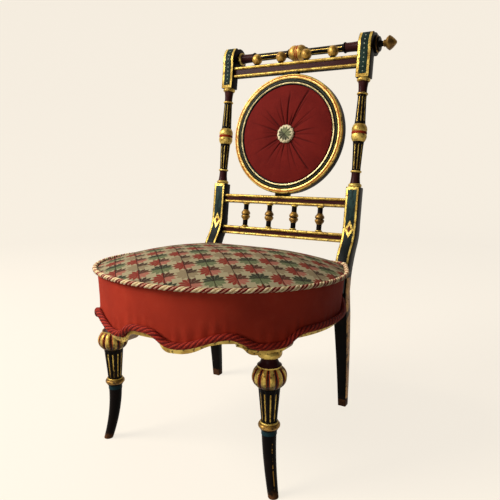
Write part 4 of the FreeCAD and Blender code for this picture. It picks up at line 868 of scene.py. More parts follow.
@dataclass(frozen=True)
class Frames:
    """Where the floor, the seat, the raked back, its stiles and crest stand, in millimetres and degrees."""

    seat_back: float = -59.294
    seat_height: float = 370.0
    seat_tilt: float = 2.9
    back_back: float = 207.496
    back_height: float = 526.055
    rake: float = 8.5
    spread: float = 182.618
    half_stile: float = 16.0
    crest: Point = (36.0, 332.64)

    def at(self, setback: float, height: float, lean: float) -> Matrix:
        """Give a frame in millimetres over the middle of the floor, leaning back by some degrees."""
        tilt = Matrix.Rotation(-math.radians(lean), 4, "X")
        return Matrix.Scale(MM, 4) @ Matrix.Translation((0, setback, height)) @ tilt

    def floor(self) -> Matrix:
        """Give the frame on the floor under the middle of the seat."""
        return self.at(self.seat_back, 0, 0)

    def seat(self) -> Matrix:
        """Give the frame at the middle of the seat's rim, which leans back."""
        return self.at(self.seat_back, self.seat_height, self.seat_tilt)

    def back(self) -> Matrix:
        """Give the frame of the raked back, at the front of the stiles and the top of their lower blocks."""
        return self.at(self.back_back, self.back_height, self.rake)

    def on_back(self, x: float, setback: float, lift: float) -> Matrix:
        """Give the upright frame at a spot of the raked back."""
        return self.back() @ Matrix.Translation((x, setback, lift))

    def half_span(self) -> float:
        """Give half of the gap between the stiles."""
        return self.spread - self.half_stile

    def on_floor(self, setback: float, lift: float) -> Point:
        """Give the setback from the seat's middle and the height of a point of the back."""
        rake = math.radians(self.rake)
        return (self.back_back - self.seat_back + setback * math.cos(rake) + lift * math.sin(rake),
                self.back_height - setback * math.sin(rake) + lift * math.cos(rake))

    def lift(self, point: Vector) -> float:
        """Give the lift on the back of a point over the floor."""
        rake = math.radians(self.rake)
        out, up = point.y + self.seat_back - self.back_back, point.z - self.back_height
        return out * math.sin(rake) + up * math.cos(rake)


FRAMES = Frames()


@dataclass(frozen=True)
class Cut:
    """One length of a turning: its diameters at both ends, its swell and its flutes."""

    length: float
    start: float
    end: float
    finish: Finish
    swell: float = 0.0
    flutes: int = 0
    depth: float = 0.0
    lobed: bool = False
    flute_share: ClassVar[float] = 0.36
    flute_gap: ClassVar[float] = 2.0
    flute_end: ClassVar[float] = 5.0

    def radius(self, share: float) -> float:
        """Give the radius at a share of the length."""
        straight = (self.start + (self.end - self.start) * share) / 2
        if not self.swell:
            return straight
        size = abs(self.swell)
        bow = (self.length * self.length / 4 + size * size) / (2 * size)
        rise = math.sqrt(max(0.0, bow * bow - (self.length * (share - 0.5)) ** 2)) - (bow - size)
        return straight + math.copysign(rise, self.swell)

    def shares(self) -> list[float]:
        """Give where the length needs a ring, closer at the ends of flutes."""
        if self.flutes and not self.lobed:
            ends = [0.0, 0.02, 0.04, 0.06, 0.09, 0.13]
            return ends + [0.3, 0.5, 0.7] + [1 - share for share in reversed(ends)]
        if self.swell:
            return [index / 14 for index in range(15)]
        return [0.0, 1.0]

    def hollow(self, share: float, angle: float) -> float:
        """Give how deep a flute or the gap between gadroons is at a spot."""
        away = abs((angle * self.flutes / math.tau) % 1.0 - 0.5)
        if self.lobed:
            return self.depth * (2 * away) ** 3 * ease(share, 0.0, 0.2) * ease(1 - share, 0.0, 0.2)
        inside = max(0.0, min(share, 1 - share) * self.length - self.flute_gap)
        reach = self.flute_share * math.sqrt(min(1.0, inside / self.flute_end))
        return self.depth * math.sqrt(max(0.0, 1 - (away / reach) ** 2)) if reach > away else 0.0


@dataclass(frozen=True)
class Turning:
    """A turned length made of cuts, one on another."""

    cuts: Sequence[Cut]
    foot: float = 0.0
    steps: int = 96

    def shape(self, piece: Piece) -> bmesh.types.BMesh:
        """Turn the length.

        Args:
            piece: The piece whose finishes the cuts take.

        Returns:
            A closed mesh about the Z axis.
        """
        outline: list[Point] = [(0.0, self.foot)]
        spans: list[tuple[float, float, Cut]] = []
        level = self.foot
        for cut in self.cuts:
            outline += [(cut.radius(share), level + cut.length * share) for share in cut.shares()]
            spans.append((level, level + cut.length, cut))
            level += cut.length
        part = bmesh.new()
        spin(part, outline + [(0.0, level)], self.steps)
        weld(part)
        for face in part.faces:
            levels = [vert.co.z for vert in face.verts]
            low, high = min(levels), max(levels)
            level = (low + high) / 2
            near = [span for span in spans if span[0] - SAME_LEVEL <= level <= span[1] + SAME_LEVEL]
            if high - low < SAME_LEVEL:
                near.sort(key=lambda span: -span[2].radius((level - span[0]) / (span[1] - span[0])))
            face.material_index = piece.number(near[0][2].finish)
        for low, high, cut in spans:
            if cut.flutes:
                for vert in part.verts:
                    if low + SAME_LEVEL < vert.co.z < high - SAME_LEVEL:
                        sunk = cut.hollow((vert.co.z - low) / (high - low), math.atan2(vert.co.y, vert.co.x))
                        radius = math.hypot(vert.co.x, vert.co.y)
                        vert.co.xy *= (radius - sunk) / radius
        return part

    def build(self, node: str, slot: str, place: Matrix) -> bpy.types.Object:
        """Make and place a piece that is this turning alone.

        Args:
            node: CAD node that it stands for.
            slot: Name of its slot, kept on the piece.
            place: Where it stands or lies.

        Returns:
            The piece's object.
        """
        piece = Piece(node + "_turned", slot)
        piece.add(self.shape(piece), place)
        return piece.place(node)


def total(cuts: Sequence[Cut]) -> float:
    """Give the length of some cuts together."""
    return sum(cut.length for cut in cuts)


def mirrored(cuts: Sequence[Cut]) -> list[Cut]:
    """Give cuts from the other end."""
    return [replace(cut, start=cut.end, end=cut.start) for cut in reversed(cuts)]


def both_ways(foot: list[Cut], shaft: Cut, head: list[Cut], middle: list[Cut], far: Finish) -> list[Cut]:
    """Give cuts that run the same both ways from a middle.

    Args:
        foot: Cuts at each end.
        shaft: Shaft next to them.
        head: Cuts between the shaft and the middle.
        middle: Cuts at the middle.
        far: Finish of the second shaft.

    Returns:
        All the cuts in order.
    """
    near = [*foot, shaft, *head]
    after = mirrored(near)
    after[len(head)] = replace(after[len(head)], finish=far)
    return near + middle + after


def block(outline: Sequence[Point], half: float, bevel: float, face_finish: Callable[[Vector, Vector], int]
          ) -> bmesh.types.BMesh:
    """Cut a block from its side outline.

    Args:
        outline: Setback and lift of the corners.
        half: Half of the block's width.
        bevel: Width of its rubbed edges.
        face_finish: Finish number of a face from its outward direction and middle.

    Returns:
        A closed mesh.
    """
    part = bmesh.new()
    face = part.faces.new([part.verts.new((-half, setback, lift)) for setback, lift in outline])
    made = bmesh.ops.extrude_face_region(part, geom=[face])["geom"]
    moved = [item for item in made if isinstance(item, bmesh.types.BMVert)]
    bmesh.ops.translate(part, vec=(2 * half, 0, 0), verts=moved)
    bmesh.ops.recalc_face_normals(part, faces=part.faces)
    for each in part.faces:
        each.material_index = face_finish(each.normal, each.calc_center_median())
    if bevel:
        rub(part, bevel, angle=40)
    return part


class Hand(Enum):
    """The two hands of the chair, as the viewer in front sees them."""

    LEFT = -1
    RIGHT = 1

    def named(self, node: str) -> str:
        """Give the name of a node on this hand."""
        return f"{self.name.lower()}_{node}"


@dataclass(frozen=True)
class FrontLeg:
    """Turned front leg with a gadrooned melon and a sabre foot, in millimetres."""

    hand: Hand
    circle: float = 229.0
    angle: float = 53.6
    sabre_height: float = 112.0
    sweep: float = 19.0
    sabre_top: float = 26.5
    sabre_foot: float = 19.0
    taper: float = 63.62
    lines_gap: Point = (3.0, 9.0)
    steps: int = 120

    def cuts(self) -> list[Cut]:
        """Give the turned lengths from the sabre foot upwards."""
        collar = [
            Cut(9, 28, 28, TEAL),
            Cut(3, 31, 31, BLACK, 0.8),
            Cut(9, 33, 33, DULL_GILT, 3.2),
            Cut(3, 31, 31, GILT, 0.8),
        ]
        low = self.sabre_height + total(collar) + self.lines_gap[0]
        high = self.sabre_height + total(collar) + self.taper - self.lines_gap[1]
        fluted = FlutedLacquer("leg_flutes", flutes=10, low=low, high=high, line=1.1)
        return collar + [
            Cut(self.taper, 28, 39, fluted, 0, 10, 1.6),
            Cut(38, 37, 37, GadroonGilding("melon_gilding"), 12.5, 12, 3.2, True),
            Cut(2, 43, 43, GILT),
            Cut(16, 41, 30, MAROON, -2.5),
            Cut(11, 40, 40, GILT, 2),
        ]

    def sabre(self, piece: Piece) -> bmesh.types.BMesh:
        """Draw the foot through circles that sweep outwards as they go down."""
        lengths, count = 24, 48
        lined = piece.number(LinedFoot("lined_foot", wear=0.3))
        rings = []
        for down in (index / lengths for index in range(lengths + 1)):
            radius = (self.sabre_top + (self.sabre_foot - self.sabre_top) * down) / 2
            rings.append(rim(radius, self.sabre_height * (1 - down), count, self.sweep * down ** 1.9))
        return loft(rings, [lined] * lengths)

    def build(self) -> bpy.types.Object:
        """Make and place the leg."""
        piece = Piece(self.hand.named("front_leg_turned"), "ebonised_wood")
        turn = math.radians(self.angle)
        spot = (self.hand.value * self.circle * math.sin(turn), -self.circle * math.cos(turn), 0)
        facing = math.atan2(spot[1], spot[0])
        place = FRAMES.floor() @ Matrix.Translation(spot) @ Matrix.Rotation(facing, 4, "Z")
        piece.add(Turning(self.cuts(), self.sabre_height, self.steps).shape(piece), place)
        piece.add(self.sabre(piece), place)
        return piece.place(self.hand.named("front_leg"))


@dataclass(frozen=True)
class Stile:
    """Rear leg, lower block, turned length and scrolled upper block of one side, in millimetres."""

    hand: Hand
    depth: float = 28.0
    block: float = 86.0
    panel_foot: float = -215.0
    foot_half: float = 9.5
    taper_top: float = 236.0
    worn_foot: float = 14.0
    turning: float = 249.74
    scroll: float = 26.0
    neck: float = 27.0
    saddle: float = 20.0
    bump: Point = (10.0, 21.0)
    round_drop: float = 24.0
    round_swell: float = 6.0
    panel_depth: float = 24.0
    leg_rub: float = 1.1
    block_rub: float = 1.0

    def stations(self) -> list[tuple[Point, Point]]:
        """Give front and rear points up the leg and lower block, as setback and height."""
        front = [(238.78, 0.0), (196.78, 292.0), (202.78, 325.0), (230.28, 390.0)]
        rear = [(256.78, 0.0), (226.78, 292.0), (232.78, 325.0), (266.28, 390.0)]
        front += [FRAMES.on_floor(0.0, lift) for lift in (-self.block, 0.0)]
        rear += [FRAMES.on_floor(self.depth, lift) for lift in (-self.block, 0.0)]
        swells = [(5.0, 5.0, 16), (0.0, 0.0, 4), (-6.0, -3.0, 12), (4.0, 4.0, 8), (0.0, 0.0, 2)]
        found = []
        for index, (swell, rear_swell, steps) in enumerate(swells):
            for share in (step / steps for step in range(steps)):
                found.append((bowed(front[index], front[index + 1], swell, share),
                              bowed(rear[index], rear[index + 1], rear_swell, share)))
        found.append((front[-1], rear[-1]))
        return found

    def leg(self, piece: Piece) -> bmesh.types.BMesh:
        """Draw the leg and lower block through square sections from the foot up."""
        rings = []
        for front, rear in self.stations():
            share = min(1.0, (front[1] + rear[1]) / 2 / self.taper_top)
            half = self.foot_half + (FRAMES.half_stile - self.foot_half) * share
            rings.append([Vector((-half, *front)), Vector((half, *front)), Vector((half, *rear)),
                          Vector((-half, *rear))])
        part = loft(rings)
        layer = part.verts.layers.float_vector.new("local")
        for ring in rings:
            for index, point in enumerate(ring):
                near = min(part.verts, key=lambda vert: (vert.co - point).length_squared)
                near[layer] = (point.x, -1.0 if index < 2 else 1.0, FRAMES.lift(point))
        black = piece.number(BLACK)
        stripe = piece.number(StripedLacquer("striped_leg"))
        # The ground darkens to nearly black towards the panel's foot: painted shade beside the seat.
        panel = piece.number(Panel("lower_block_panel", Ornament.LOZENGE, shade(40, 62, 58), shade(9, 10, 10),
                                   FRAMES.half_stile, low=self.panel_foot, high=-6.5,
                                   fade=self.panel_foot + 25))
        worn = piece.number(FOOT)
        for face in part.faces:
            middle = face.calc_center_median()
            outer = face.normal.x * self.hand.value > 0.7
            front = face.normal.y < -0.6 and FRAMES.lift(middle) > self.panel_foot
            face.material_index = panel if front else stripe if outer else black
            if middle.z < self.worn_foot:
                face.material_index = worn
        rub(part, self.leg_rub, angle=60)
        return part

    def cuts(self) -> list[Cut]:
        """Give the turned lengths from the lower block up: the same both ways from the ball."""
        foot = [Cut(8, 27, 27, GILT, 2), Cut(26, 24, 20, MAROON, -0.8), Cut(4, 24, 24, GILT, 0.8)]
        head = [Cut(2, 25, 25, BLACK, 0.4), Cut(17, 26, 34, GILT, 2.4)]
        band = Cut(6, 34.6, 34.6, RED_BAND, 0.6)
        start, top = total(foot), self.turning - total(foot)
        shaft = (self.turning - 2 * total(foot + head) - band.length) / 2
        lower = FlutedLacquer("lower_shaft_flutes", low=start + LINE_GAP, high=start + shaft - LINE_GAP)
        upper = FlutedLacquer("upper_shaft_flutes", low=top - shaft + LINE_GAP, high=top - LINE_GAP)
        return both_ways(foot, Cut(shaft, 20, 25, lower, 0, 8, 1.1), head, [band], upper)

    def scroll_outline(self) -> list[Point]:
        """Give the side outline of the upper block: rounded front, saddle and scroll."""
        (setback, lift), radius = FRAMES.crest, self.scroll
        under = math.atan2(-math.sqrt(radius ** 2 - (setback - self.neck) ** 2), self.neck - setback)
        over = math.atan2(math.sqrt(radius ** 2 - (setback - self.saddle) ** 2), self.saddle - setback)
        points: list[Point] = [(0.0, self.turning), (self.neck, self.turning)]
        for turn in (under + (over - under) * index / 40 for index in range(41)):
            points.append((setback + radius * math.cos(turn), lift + radius * math.sin(turn)))
        saddle, bump = points[-1], (self.bump[0], lift + self.bump[1])
        round_foot = (0.0, lift - self.round_drop)
        points += [bowed(saddle, bump, 1.5, index / 4) for index in range(1, 4)]
        points += [bowed(bump, round_foot, self.round_swell, index / 12) for index in range(13)]
        return points

    def build(self) -> bpy.types.Object:
        """Make and place the stile."""
        piece = Piece(self.hand.named("stile_dressed"), "ebonised_wood")
        x = self.hand.value * FRAMES.spread
        piece.add(self.leg(piece), FRAMES.floor() @ Matrix.Translation((x, 0, 0)))
        piece.add(Turning(self.cuts()).shape(piece), FRAMES.on_back(x, self.depth / 2, 0))
        panel = piece.number(Panel("upper_block_panel", Ornament.DOTS, shade(20, 38, 32), shade(24, 44, 36),
                                   FRAMES.half_stile, border=6.2, low=self.turning + 1.0,
                                   high=FRAMES.crest[1] + 60))
        black = piece.number(BLACK)

        def face_finish(way: Vector, middle: Vector) -> int:
            """Give the panel's finish to the front and the top, and black to the rest."""
            front = way.y < -0.3 or (way.z > 0.8 and middle.y < self.panel_depth)
            return panel if abs(way.x) < 0.5 and front else black

        upper = block(self.scroll_outline(), FRAMES.half_stile, self.block_rub, face_finish)
        piece.add(upper, FRAMES.on_back(x, 0, 0))
        return piece.place(self.hand.named("stile"))


@dataclass(frozen=True)
class BeadedRail:
    """Straight back rail with a gilt bead along its top and bottom, in millimetres."""

    node: str
    height: float
    lift: float
    setback: float = 4.5
    depth: float = 17.0
    bead: float = 7.0
    swell: float = 3.0
    recess: float = 4.8

    def build(self) -> bpy.types.Object:
        """Make and place the rail."""
        piece = Piece(self.node + "_dressed", "ebonised_wood")
        gilt, maroon, black = piece.number(GILT), piece.number(MAROON), piece.number(BLACK)
        outline: list[Point] = [(self.depth, self.height)]
        for top in (self.height, self.bead):
            ends = (self.swell, top), (self.swell, top - self.bead)
            outline += [bowed(*ends, self.swell, index / 8) for index in range(9)]
            if top == self.height:
                outline += [(self.recess, self.height - self.bead), (self.recess, self.bead)]
        outline.append((self.depth, 0.0))

        def face_finish(way: Vector, middle: Vector) -> int:
            """Gild the beads, paint the sunk band and leave the rest black."""
            if abs(way.x) > 0.5 or middle.y > self.recess + 0.1:
                return black
            sunk = self.bead + SAME_LEVEL < middle.z < self.height - self.bead - SAME_LEVEL
            return maroon if sunk else gilt

        rail = block(outline, FRAMES.half_span(), 0.0, face_finish)
        piece.add(rail, FRAMES.on_back(0, self.setback, self.lift))
        return piece.place(self.node)


@dataclass(frozen=True)
class BackTurnings:
    """Crest rail, finials, crest balls and gallery spindles, in millimetres."""

    pitch: float = 68.5
    axis_setback: float = 12.0
    ball_lift: float = 303.44
    spindle_lift: float = -108.2
    small_steps: int = 48

    def crest_rail(self) -> bpy.types.Object:
        """Make the crest rail with a bulb at its middle."""
        foot = [Cut(7, 29, 29, GILT, 1.5), Cut(34, 24, 22, MAROON, -0.6), Cut(4, 24, 24, BLACK, 0.8)]
        # The bulb's gilding is the darker copy: painted shade.
        head = [Cut(3, 23, 23, BLACK, 0.5), Cut(18, 23, 36, SHADED_BALL_GILT, 3.4)]
        bands = [Cut(3, 36, 36.4, RED_BAND), Cut(2, 37, 37, SHADED_BALL_GILT), Cut(3, 36.4, 36, RED_BAND)]
        half = FRAMES.half_span()
        start, shaft = total(foot) - half, half - total(foot + head) - total(bands) / 2
        low, high = start + LINE_GAP, start + shaft - LINE_GAP
        lines = FlutedLacquer("crest_lines", flutes=6, low=low, high=high, line=0.7)
        far_lines = FlutedLacquer("crest_far_lines", flutes=6, low=-high, high=-low, line=0.7)
        cuts = both_ways(foot, Cut(shaft, 19, 18, lines, 0, 6, 0.5), head, bands, far_lines)
        lying = FRAMES.on_back(0, *FRAMES.crest) @ Matrix.Rotation(math.radians(90), 4, "Y")
        return Turning(cuts, -half).build("crest_rail", "ebonised_wood", lying)

    def finial(self, hand: Hand) -> bpy.types.Object:
        """Make the boss on the outer end of a scroll, with the bud that only the right one has kept."""
        cuts = [Cut(4, 40, 40, BLACK, 0.8), Cut(1, 38, 36, DULL_GILT), Cut(4, 31, 31, BLACK, 1.5)]
        if hand is Hand.RIGHT:
            cuts += [Cut(9, 18, 12, BLACK, -1.0), Cut(3, 15, 15, DULL_GILT, 0.5),
                     Cut(10, 13, 33, DULL_GILT, 1.5), Cut(16, 33, 5, DULL_GILT, 1.5)]
        else:
            cuts += [Cut(1.5, 14, 12, FOOT)]
        outer = FRAMES.on_back(hand.value * (FRAMES.spread + FRAMES.half_stile), *FRAMES.crest)
        lying = outer @ Matrix.Rotation(math.radians(90 * hand.value), 4, "Y")
        return Turning(cuts).build(hand.named("finial"), "ebonised_wood", lying)

    def build(self) -> None:
        """Make and place every turning of the back."""
        self.crest_rail()
        for hand in Hand:
            self.finial(hand)
        # The crest balls take the darker copy of the gilding: painted shade.
        ball = [Cut(3.5, 11, 11, BLACK, 0.5), Cut(23, 14, 14, SHADED_BALL_GILT, 6)]
        lower = [Cut(3, 16, 16, GILT, 0.6), Cut(14, 12.5, 12.5, BLACK), Cut(2, 14, 14, DULL_GILT, 0.6),
                 Cut(10, 14.5, 21, DULL_GILT, 2.2), Cut(1, 18, 18, BLACK)]
        kinds = (("crest_ball", "gilt_wood", ball, self.ball_lift),
                 ("gallery_spindle", "ebonised_wood", lower + mirrored(lower), self.spindle_lift))
        for index in range(4):
            for node, slot, cuts, lift in kinds:
                place = FRAMES.on_back(self.pitch * (index - 1.5), self.axis_setback, lift)
                Turning(cuts, steps=self.small_steps).build(f"{node}_{index + 1}", slot, place)


# How a cover's cloth behaves while it settles
COVER_CLOTH = {"quality": 6, "mass": 0.3, "tension_stiffness": 25, "compression_stiffness": 25,
               "shear_stiffness": 10, "bending_stiffness": 2.0, "use_pressure": True}


def settle(made: bpy.types.Object, held: Sequence[int], pressure: float, cap: float) -> None:
    """Let a padded piece swell under its cloth, and keep the result in its mesh.

    Args:
        made: The padded piece.
        held: Numbers of the points that are sewn or tacked down.
        pressure: How hard the stuffing presses.
        cap: How far a point may move, in metres.
    """
    group = made.vertex_groups.new(name="held")
    group.add(list(held), 1.0, "REPLACE")
    cloth = made.modifiers.new("settling", "CLOTH")
    for name, value in COVER_CLOTH.items():
        setattr(cloth.settings, name, value)
    cloth.settings.uniform_pressure_force = pressure
    cloth.settings.vertex_group_mass = group.name
    cloth.settings.effector_weights.gravity = 0.0
    cloth.collision_settings.use_collision = False
    for number in range(1, 21):
        bpy.context.scene.frame_set(number)
    settled = made.evaluated_get(bpy.context.evaluated_depsgraph_get())
    moved = [vert.co.copy() for vert in settled.data.vertices]
    made.modifiers.remove(cloth)
    made.vertex_groups.remove(group)
    bpy.context.scene.frame_set(1)
    for vert, place in zip(made.data.vertices, moved):
        way = place - vert.co
        vert.co += way * min(1.0, cap / max(way.length, 1e-9))


def finer(made: bpy.types.Object) -> None:
    """Halve every edge of a soft piece, so that its pleats have points enough."""
    mesh = bmesh.new()
    mesh.from_mesh(made.data)
    bmesh.ops.subdivide_edges(mesh, edges=mesh.edges, cuts=1, smooth=0.6, use_grid_fill=True)
    mesh.to_mesh(made.data)
    mesh.free()


def subdivided(made: bpy.types.Object) -> None:
    """Give a soft piece one level of subdivision."""
    smooth = made.modifiers.new("soft_skin", "SUBSURF")
    smooth.levels = 1
    smooth.render_levels = 1


@dataclass(frozen=True)
class Fold:
    """One fold of the pad: its turn in degrees, strength, reach and the share of it where it fades."""

    turn: float
    strength: float
    reach: float
    start: float = 0.4

    def at(self, angle: float, share: float, width: float) -> float:
        """Give how deep the fold is at a spot.

        Args:
            angle: Round the pad, in degrees.
            share: Out from the middle, from 0 to 1.
            width: Half of the fold's width, as a share of the pad's radius.

        Returns:
            Depth as a share of the deepest fold.
        """
        away = math.radians((angle - self.turn + 180) % 360 - 180) * max(share, 0.2)
        fade = 1 - ease(share, self.reach * self.start, self.reach)
        return self.strength * fade * math.exp(-(away / width) ** 2)


@dataclass(frozen=True)
class Medallion:
    """Moulded ring with a pleated pad, a covered button and a cloth back, in millimetres."""

    radius: float = 146.618
    lift: float = 125.12
    lead: float = 0.5
    depth: float = 23.0
    rebate_share: float = 0.86
    pad_radius: float = 120.8
    pad_back: float = 14.7
    pad_swell: float = 6.6
    held_rim: float = 0.955
    held_middle: float = 0.19
    held_rise: float = 7.0
    face_rise: float = 9.0
    pleats: int = 38
    pleat_width: float = 1.4
    pleat_depth: float = 2.6
    button: float = 23.0
    button_back: float = 3.4
    gathers: int = 14
    cloth_depth: float = 21.6
    cloth_gap: float = 0.6

    def place(self) -> Matrix:
        """Give the medallion's frame, whose Z axis runs from front to back and Y axis down."""
        return FRAMES.on_back(0, -self.lead, self.lift) @ Matrix.Rotation(-math.radians(90), 4, "X")

    def ring(self) -> bpy.types.Object:
        """Make the ring from its mouldings, rim inwards, as shares of its radius and depths."""
        piece = Piece("medallion_ring_moulded", "moulded_ring")
        mouldings: list[tuple[Finish, list[Point]]] = [
            (BLACK, [(1.0, self.depth)]),
            (DULL_GILT, [(1.0, 5.0)]),
            (GILT, [(0.996, 2.9), (0.986, 1.0), (0.971, 0.4)]),
            (ORANGE_LINE, [(0.969, 0.8), (0.96, 0.8), (0.951, 0.7)]),
            (LINE_GILT, [(0.949, 0.1), (0.943, 0.0), (0.934, 0.2), (0.924, 1.0)]),
            (BLACK, [(0.92, 2.6), (0.917, 3.0)]),
            (GREEN_LINE, [(0.901, 3.0), (0.899, 2.3), (0.889, 2.3)]),
            (BLACK, [(0.887, 3.0), (0.868, 3.0)]),
            (PALE_GILT, [(0.861, 1.7), (0.858, 1.2), (0.846, 1.2)]),
            (SLATE, [(0.838, 1.6), (0.834, 3.2), (0.828, 4.6)]),
            (BLACK, [(0.828, 8.0), (0.8, 8.0), (0.8, 15.0)]),
            (BEECH, [(self.rebate_share, 15.0)]),
            (BLACK, [(self.rebate_share, self.depth), (1.0, self.depth)]),
        ]
        rings, numbers = [], []
        for finish, profile in mouldings:
            for share, depth in profile:
                rings.append(rim(self.radius * share, depth, 192))
                numbers.append(piece.number(finish))
        part = loft(rings, numbers[:-1])
        bmesh.ops.delete(part, geom=[face for face in part.faces if len(face.verts) > 4], context="FACES")
        bmesh.ops.recalc_face_normals(part, faces=part.faces)
        piece.add(part, self.place())
        return piece.place("medallion_ring")

    def folds(self) -> list[Fold]:
        """Give the folds of the pad, three of them long."""
        found = [Fold(-87.0, 1.0, 0.9, 0.8), Fold(-63.0, 1.0, 1.02, 0.9), Fold(52.0, 1.0, 0.96, 0.9)]
        for index in range(self.pleats):
            turn = 360 * index / self.pleats + 6 * math.sin(index * 2.3) - 176
            strength = 0.36 + 0.44 * math.sin(index * 4.1) ** 4
            found.append(Fold(turn, strength, 0.56 + 0.44 * math.sin(index * 1.7) ** 2))
        return found

    def drawn_in(self, folds: Sequence[Fold], spot: Vector) -> float:
        """Give how deep the pad is drawn in.

        Args:
            folds: Folds of the pad.
            spot: Where to read it.

        Returns:
            Depth as a share of the deepest fold.
        """
        angle, share = math.degrees(math.atan2(spot.y, spot.x)), spot.xy.length / self.pad_radius
        deep = max(fold.at(angle, share, self.pleat_width / self.pad_radius) for fold in folds)
        return deep * ease(share, 0.1, 0.24)

    def pad(self) -> bpy.types.Object:
        """Make the pad: a crowned disc held at its rim and by its button, swollen and then pleated."""
        piece = Piece("medallion_pad_velvet", "velvet")
        # The pad's velvet carries painted shade in its creases.
        piece.number(Velvet("dark_red_velvet", shade(104, 23, 17), shade(84, 15, 13), shade(120, 34, 25),
                            shade_in_creases=True))
        # Share of the radius and rise over the back, with the crowned face between an edge and a seat
        spots = [(0.0, 0.0), (0.5, 0.0), (0.935, 0.0), (0.96, 1.5), (0.963, 6.2), (0.985, 7.2), (1.0, 8.4)]
        edge, seat = Vector((0.998, 10.0)), Vector((0.2, 11.0))
        for way in (index / 19 for index in range(1, 19)):
            share, rise = edge.lerp(seat, way)
            spots.append((share, rise + 4 * self.pad_swell * way * (1 - way)))
        spots += [(0.2, 11.0), (0.15, 10.4), (0.08, 10.2), (0.0, 10.2)]
        rings = [rim(self.pad_radius * share, self.pad_back - rise, 160) for share, rise in spots]
        piece.add(loft(rings), self.place())
        made = piece.place("medallion_pad")
        held = []
        for index, spot in enumerate(places(made)):
            share = spot.xy.length / self.pad_radius
            if not self.held_middle <= share <= self.held_rim or spot.z > self.pad_back - self.held_rise:
                held.append(index)
        settle(made, held, pressure=4.0, cap=0.004)
        finer(made)
        back = (self.place().to_3x3() @ Vector((0, 0, 1))).normalized()
        # Painted shade: each point's pleat depth is kept as an attribute that darkens the velvet there.
        crease = made.data.attributes.new("crease", "FLOAT", "POINT")
        folds = self.folds()
        for index, spot in enumerate(places(made)):
            if spot.z < self.pad_back - self.face_rise:
                drawn = self.drawn_in(folds, spot)
                made.data.vertices[index].co += back * (self.pleat_depth * MM * drawn)
                crease.data[index].value = min(1.0, drawn)
        subdivided(made)
        return made

    def covered_button(self) -> bpy.types.Object:
        """Make the button: a low dome whose cover is gathered at its edge."""
        piece = Piece("medallion_button_covered", "printed_cloth")
        piece.number(LeafCloth("button_cloth", (54.75, -27.25), leaf=18.5, ground=shade(226, 212, 172)))
        count, dome = 180, [index / 14 * math.pi / 2 for index in range(1, 15)]
        spots = [(0.0, 0.0), (0.9, 0.0), (0.99, 0.8), (1.0, 1.6), (0.985, 2.6)]
        spots += [(math.cos(turn) * 0.97, 3.0 + 5.4 * math.sin(turn) ** 0.9) for turn in dome]
        rings = []
        for share, rise in spots:
            gather = 0.045 * ease(share, 0.6, 1.0)
            ring = rim(self.button * share, self.button_back - rise, count)
            for index, point in enumerate(ring):
                turn = math.tau * index / count
                point.xy *= 1 - gather * (0.5 + 0.5 * math.sin(self.gathers * turn + math.sin(3 * turn)))
            rings.append(ring)
        piece.add(loft(rings), self.place())
        return piece.place("medallion_button")

    def back_cover(self) -> bpy.types.Object:
        """Make the cloth tacked over the back of the board."""
        piece = Piece("medallion_back_cloth", "dust_cover")
        piece.number(PlainWeave("back_linen", shade(66, 40, 34), shade(38, 24, 22), pitch=1.4))
        reach = self.radius * self.rebate_share - self.cloth_gap
        part = stretched(rim(reach, 0.0, 120), hem=reach * 0.25, level=self.cloth_depth, sag=0.5)
        size = area(part)
        piece.add(part, self.place())
        cover = piece.place("medallion_back_cover")
        width = 2 * reach * MM
        return cover

    def build(self) -> None:
        """Make and place the medallion's pieces."""
        self.ring()
        self.pad()
        self.covered_button()
        self.back_cover()


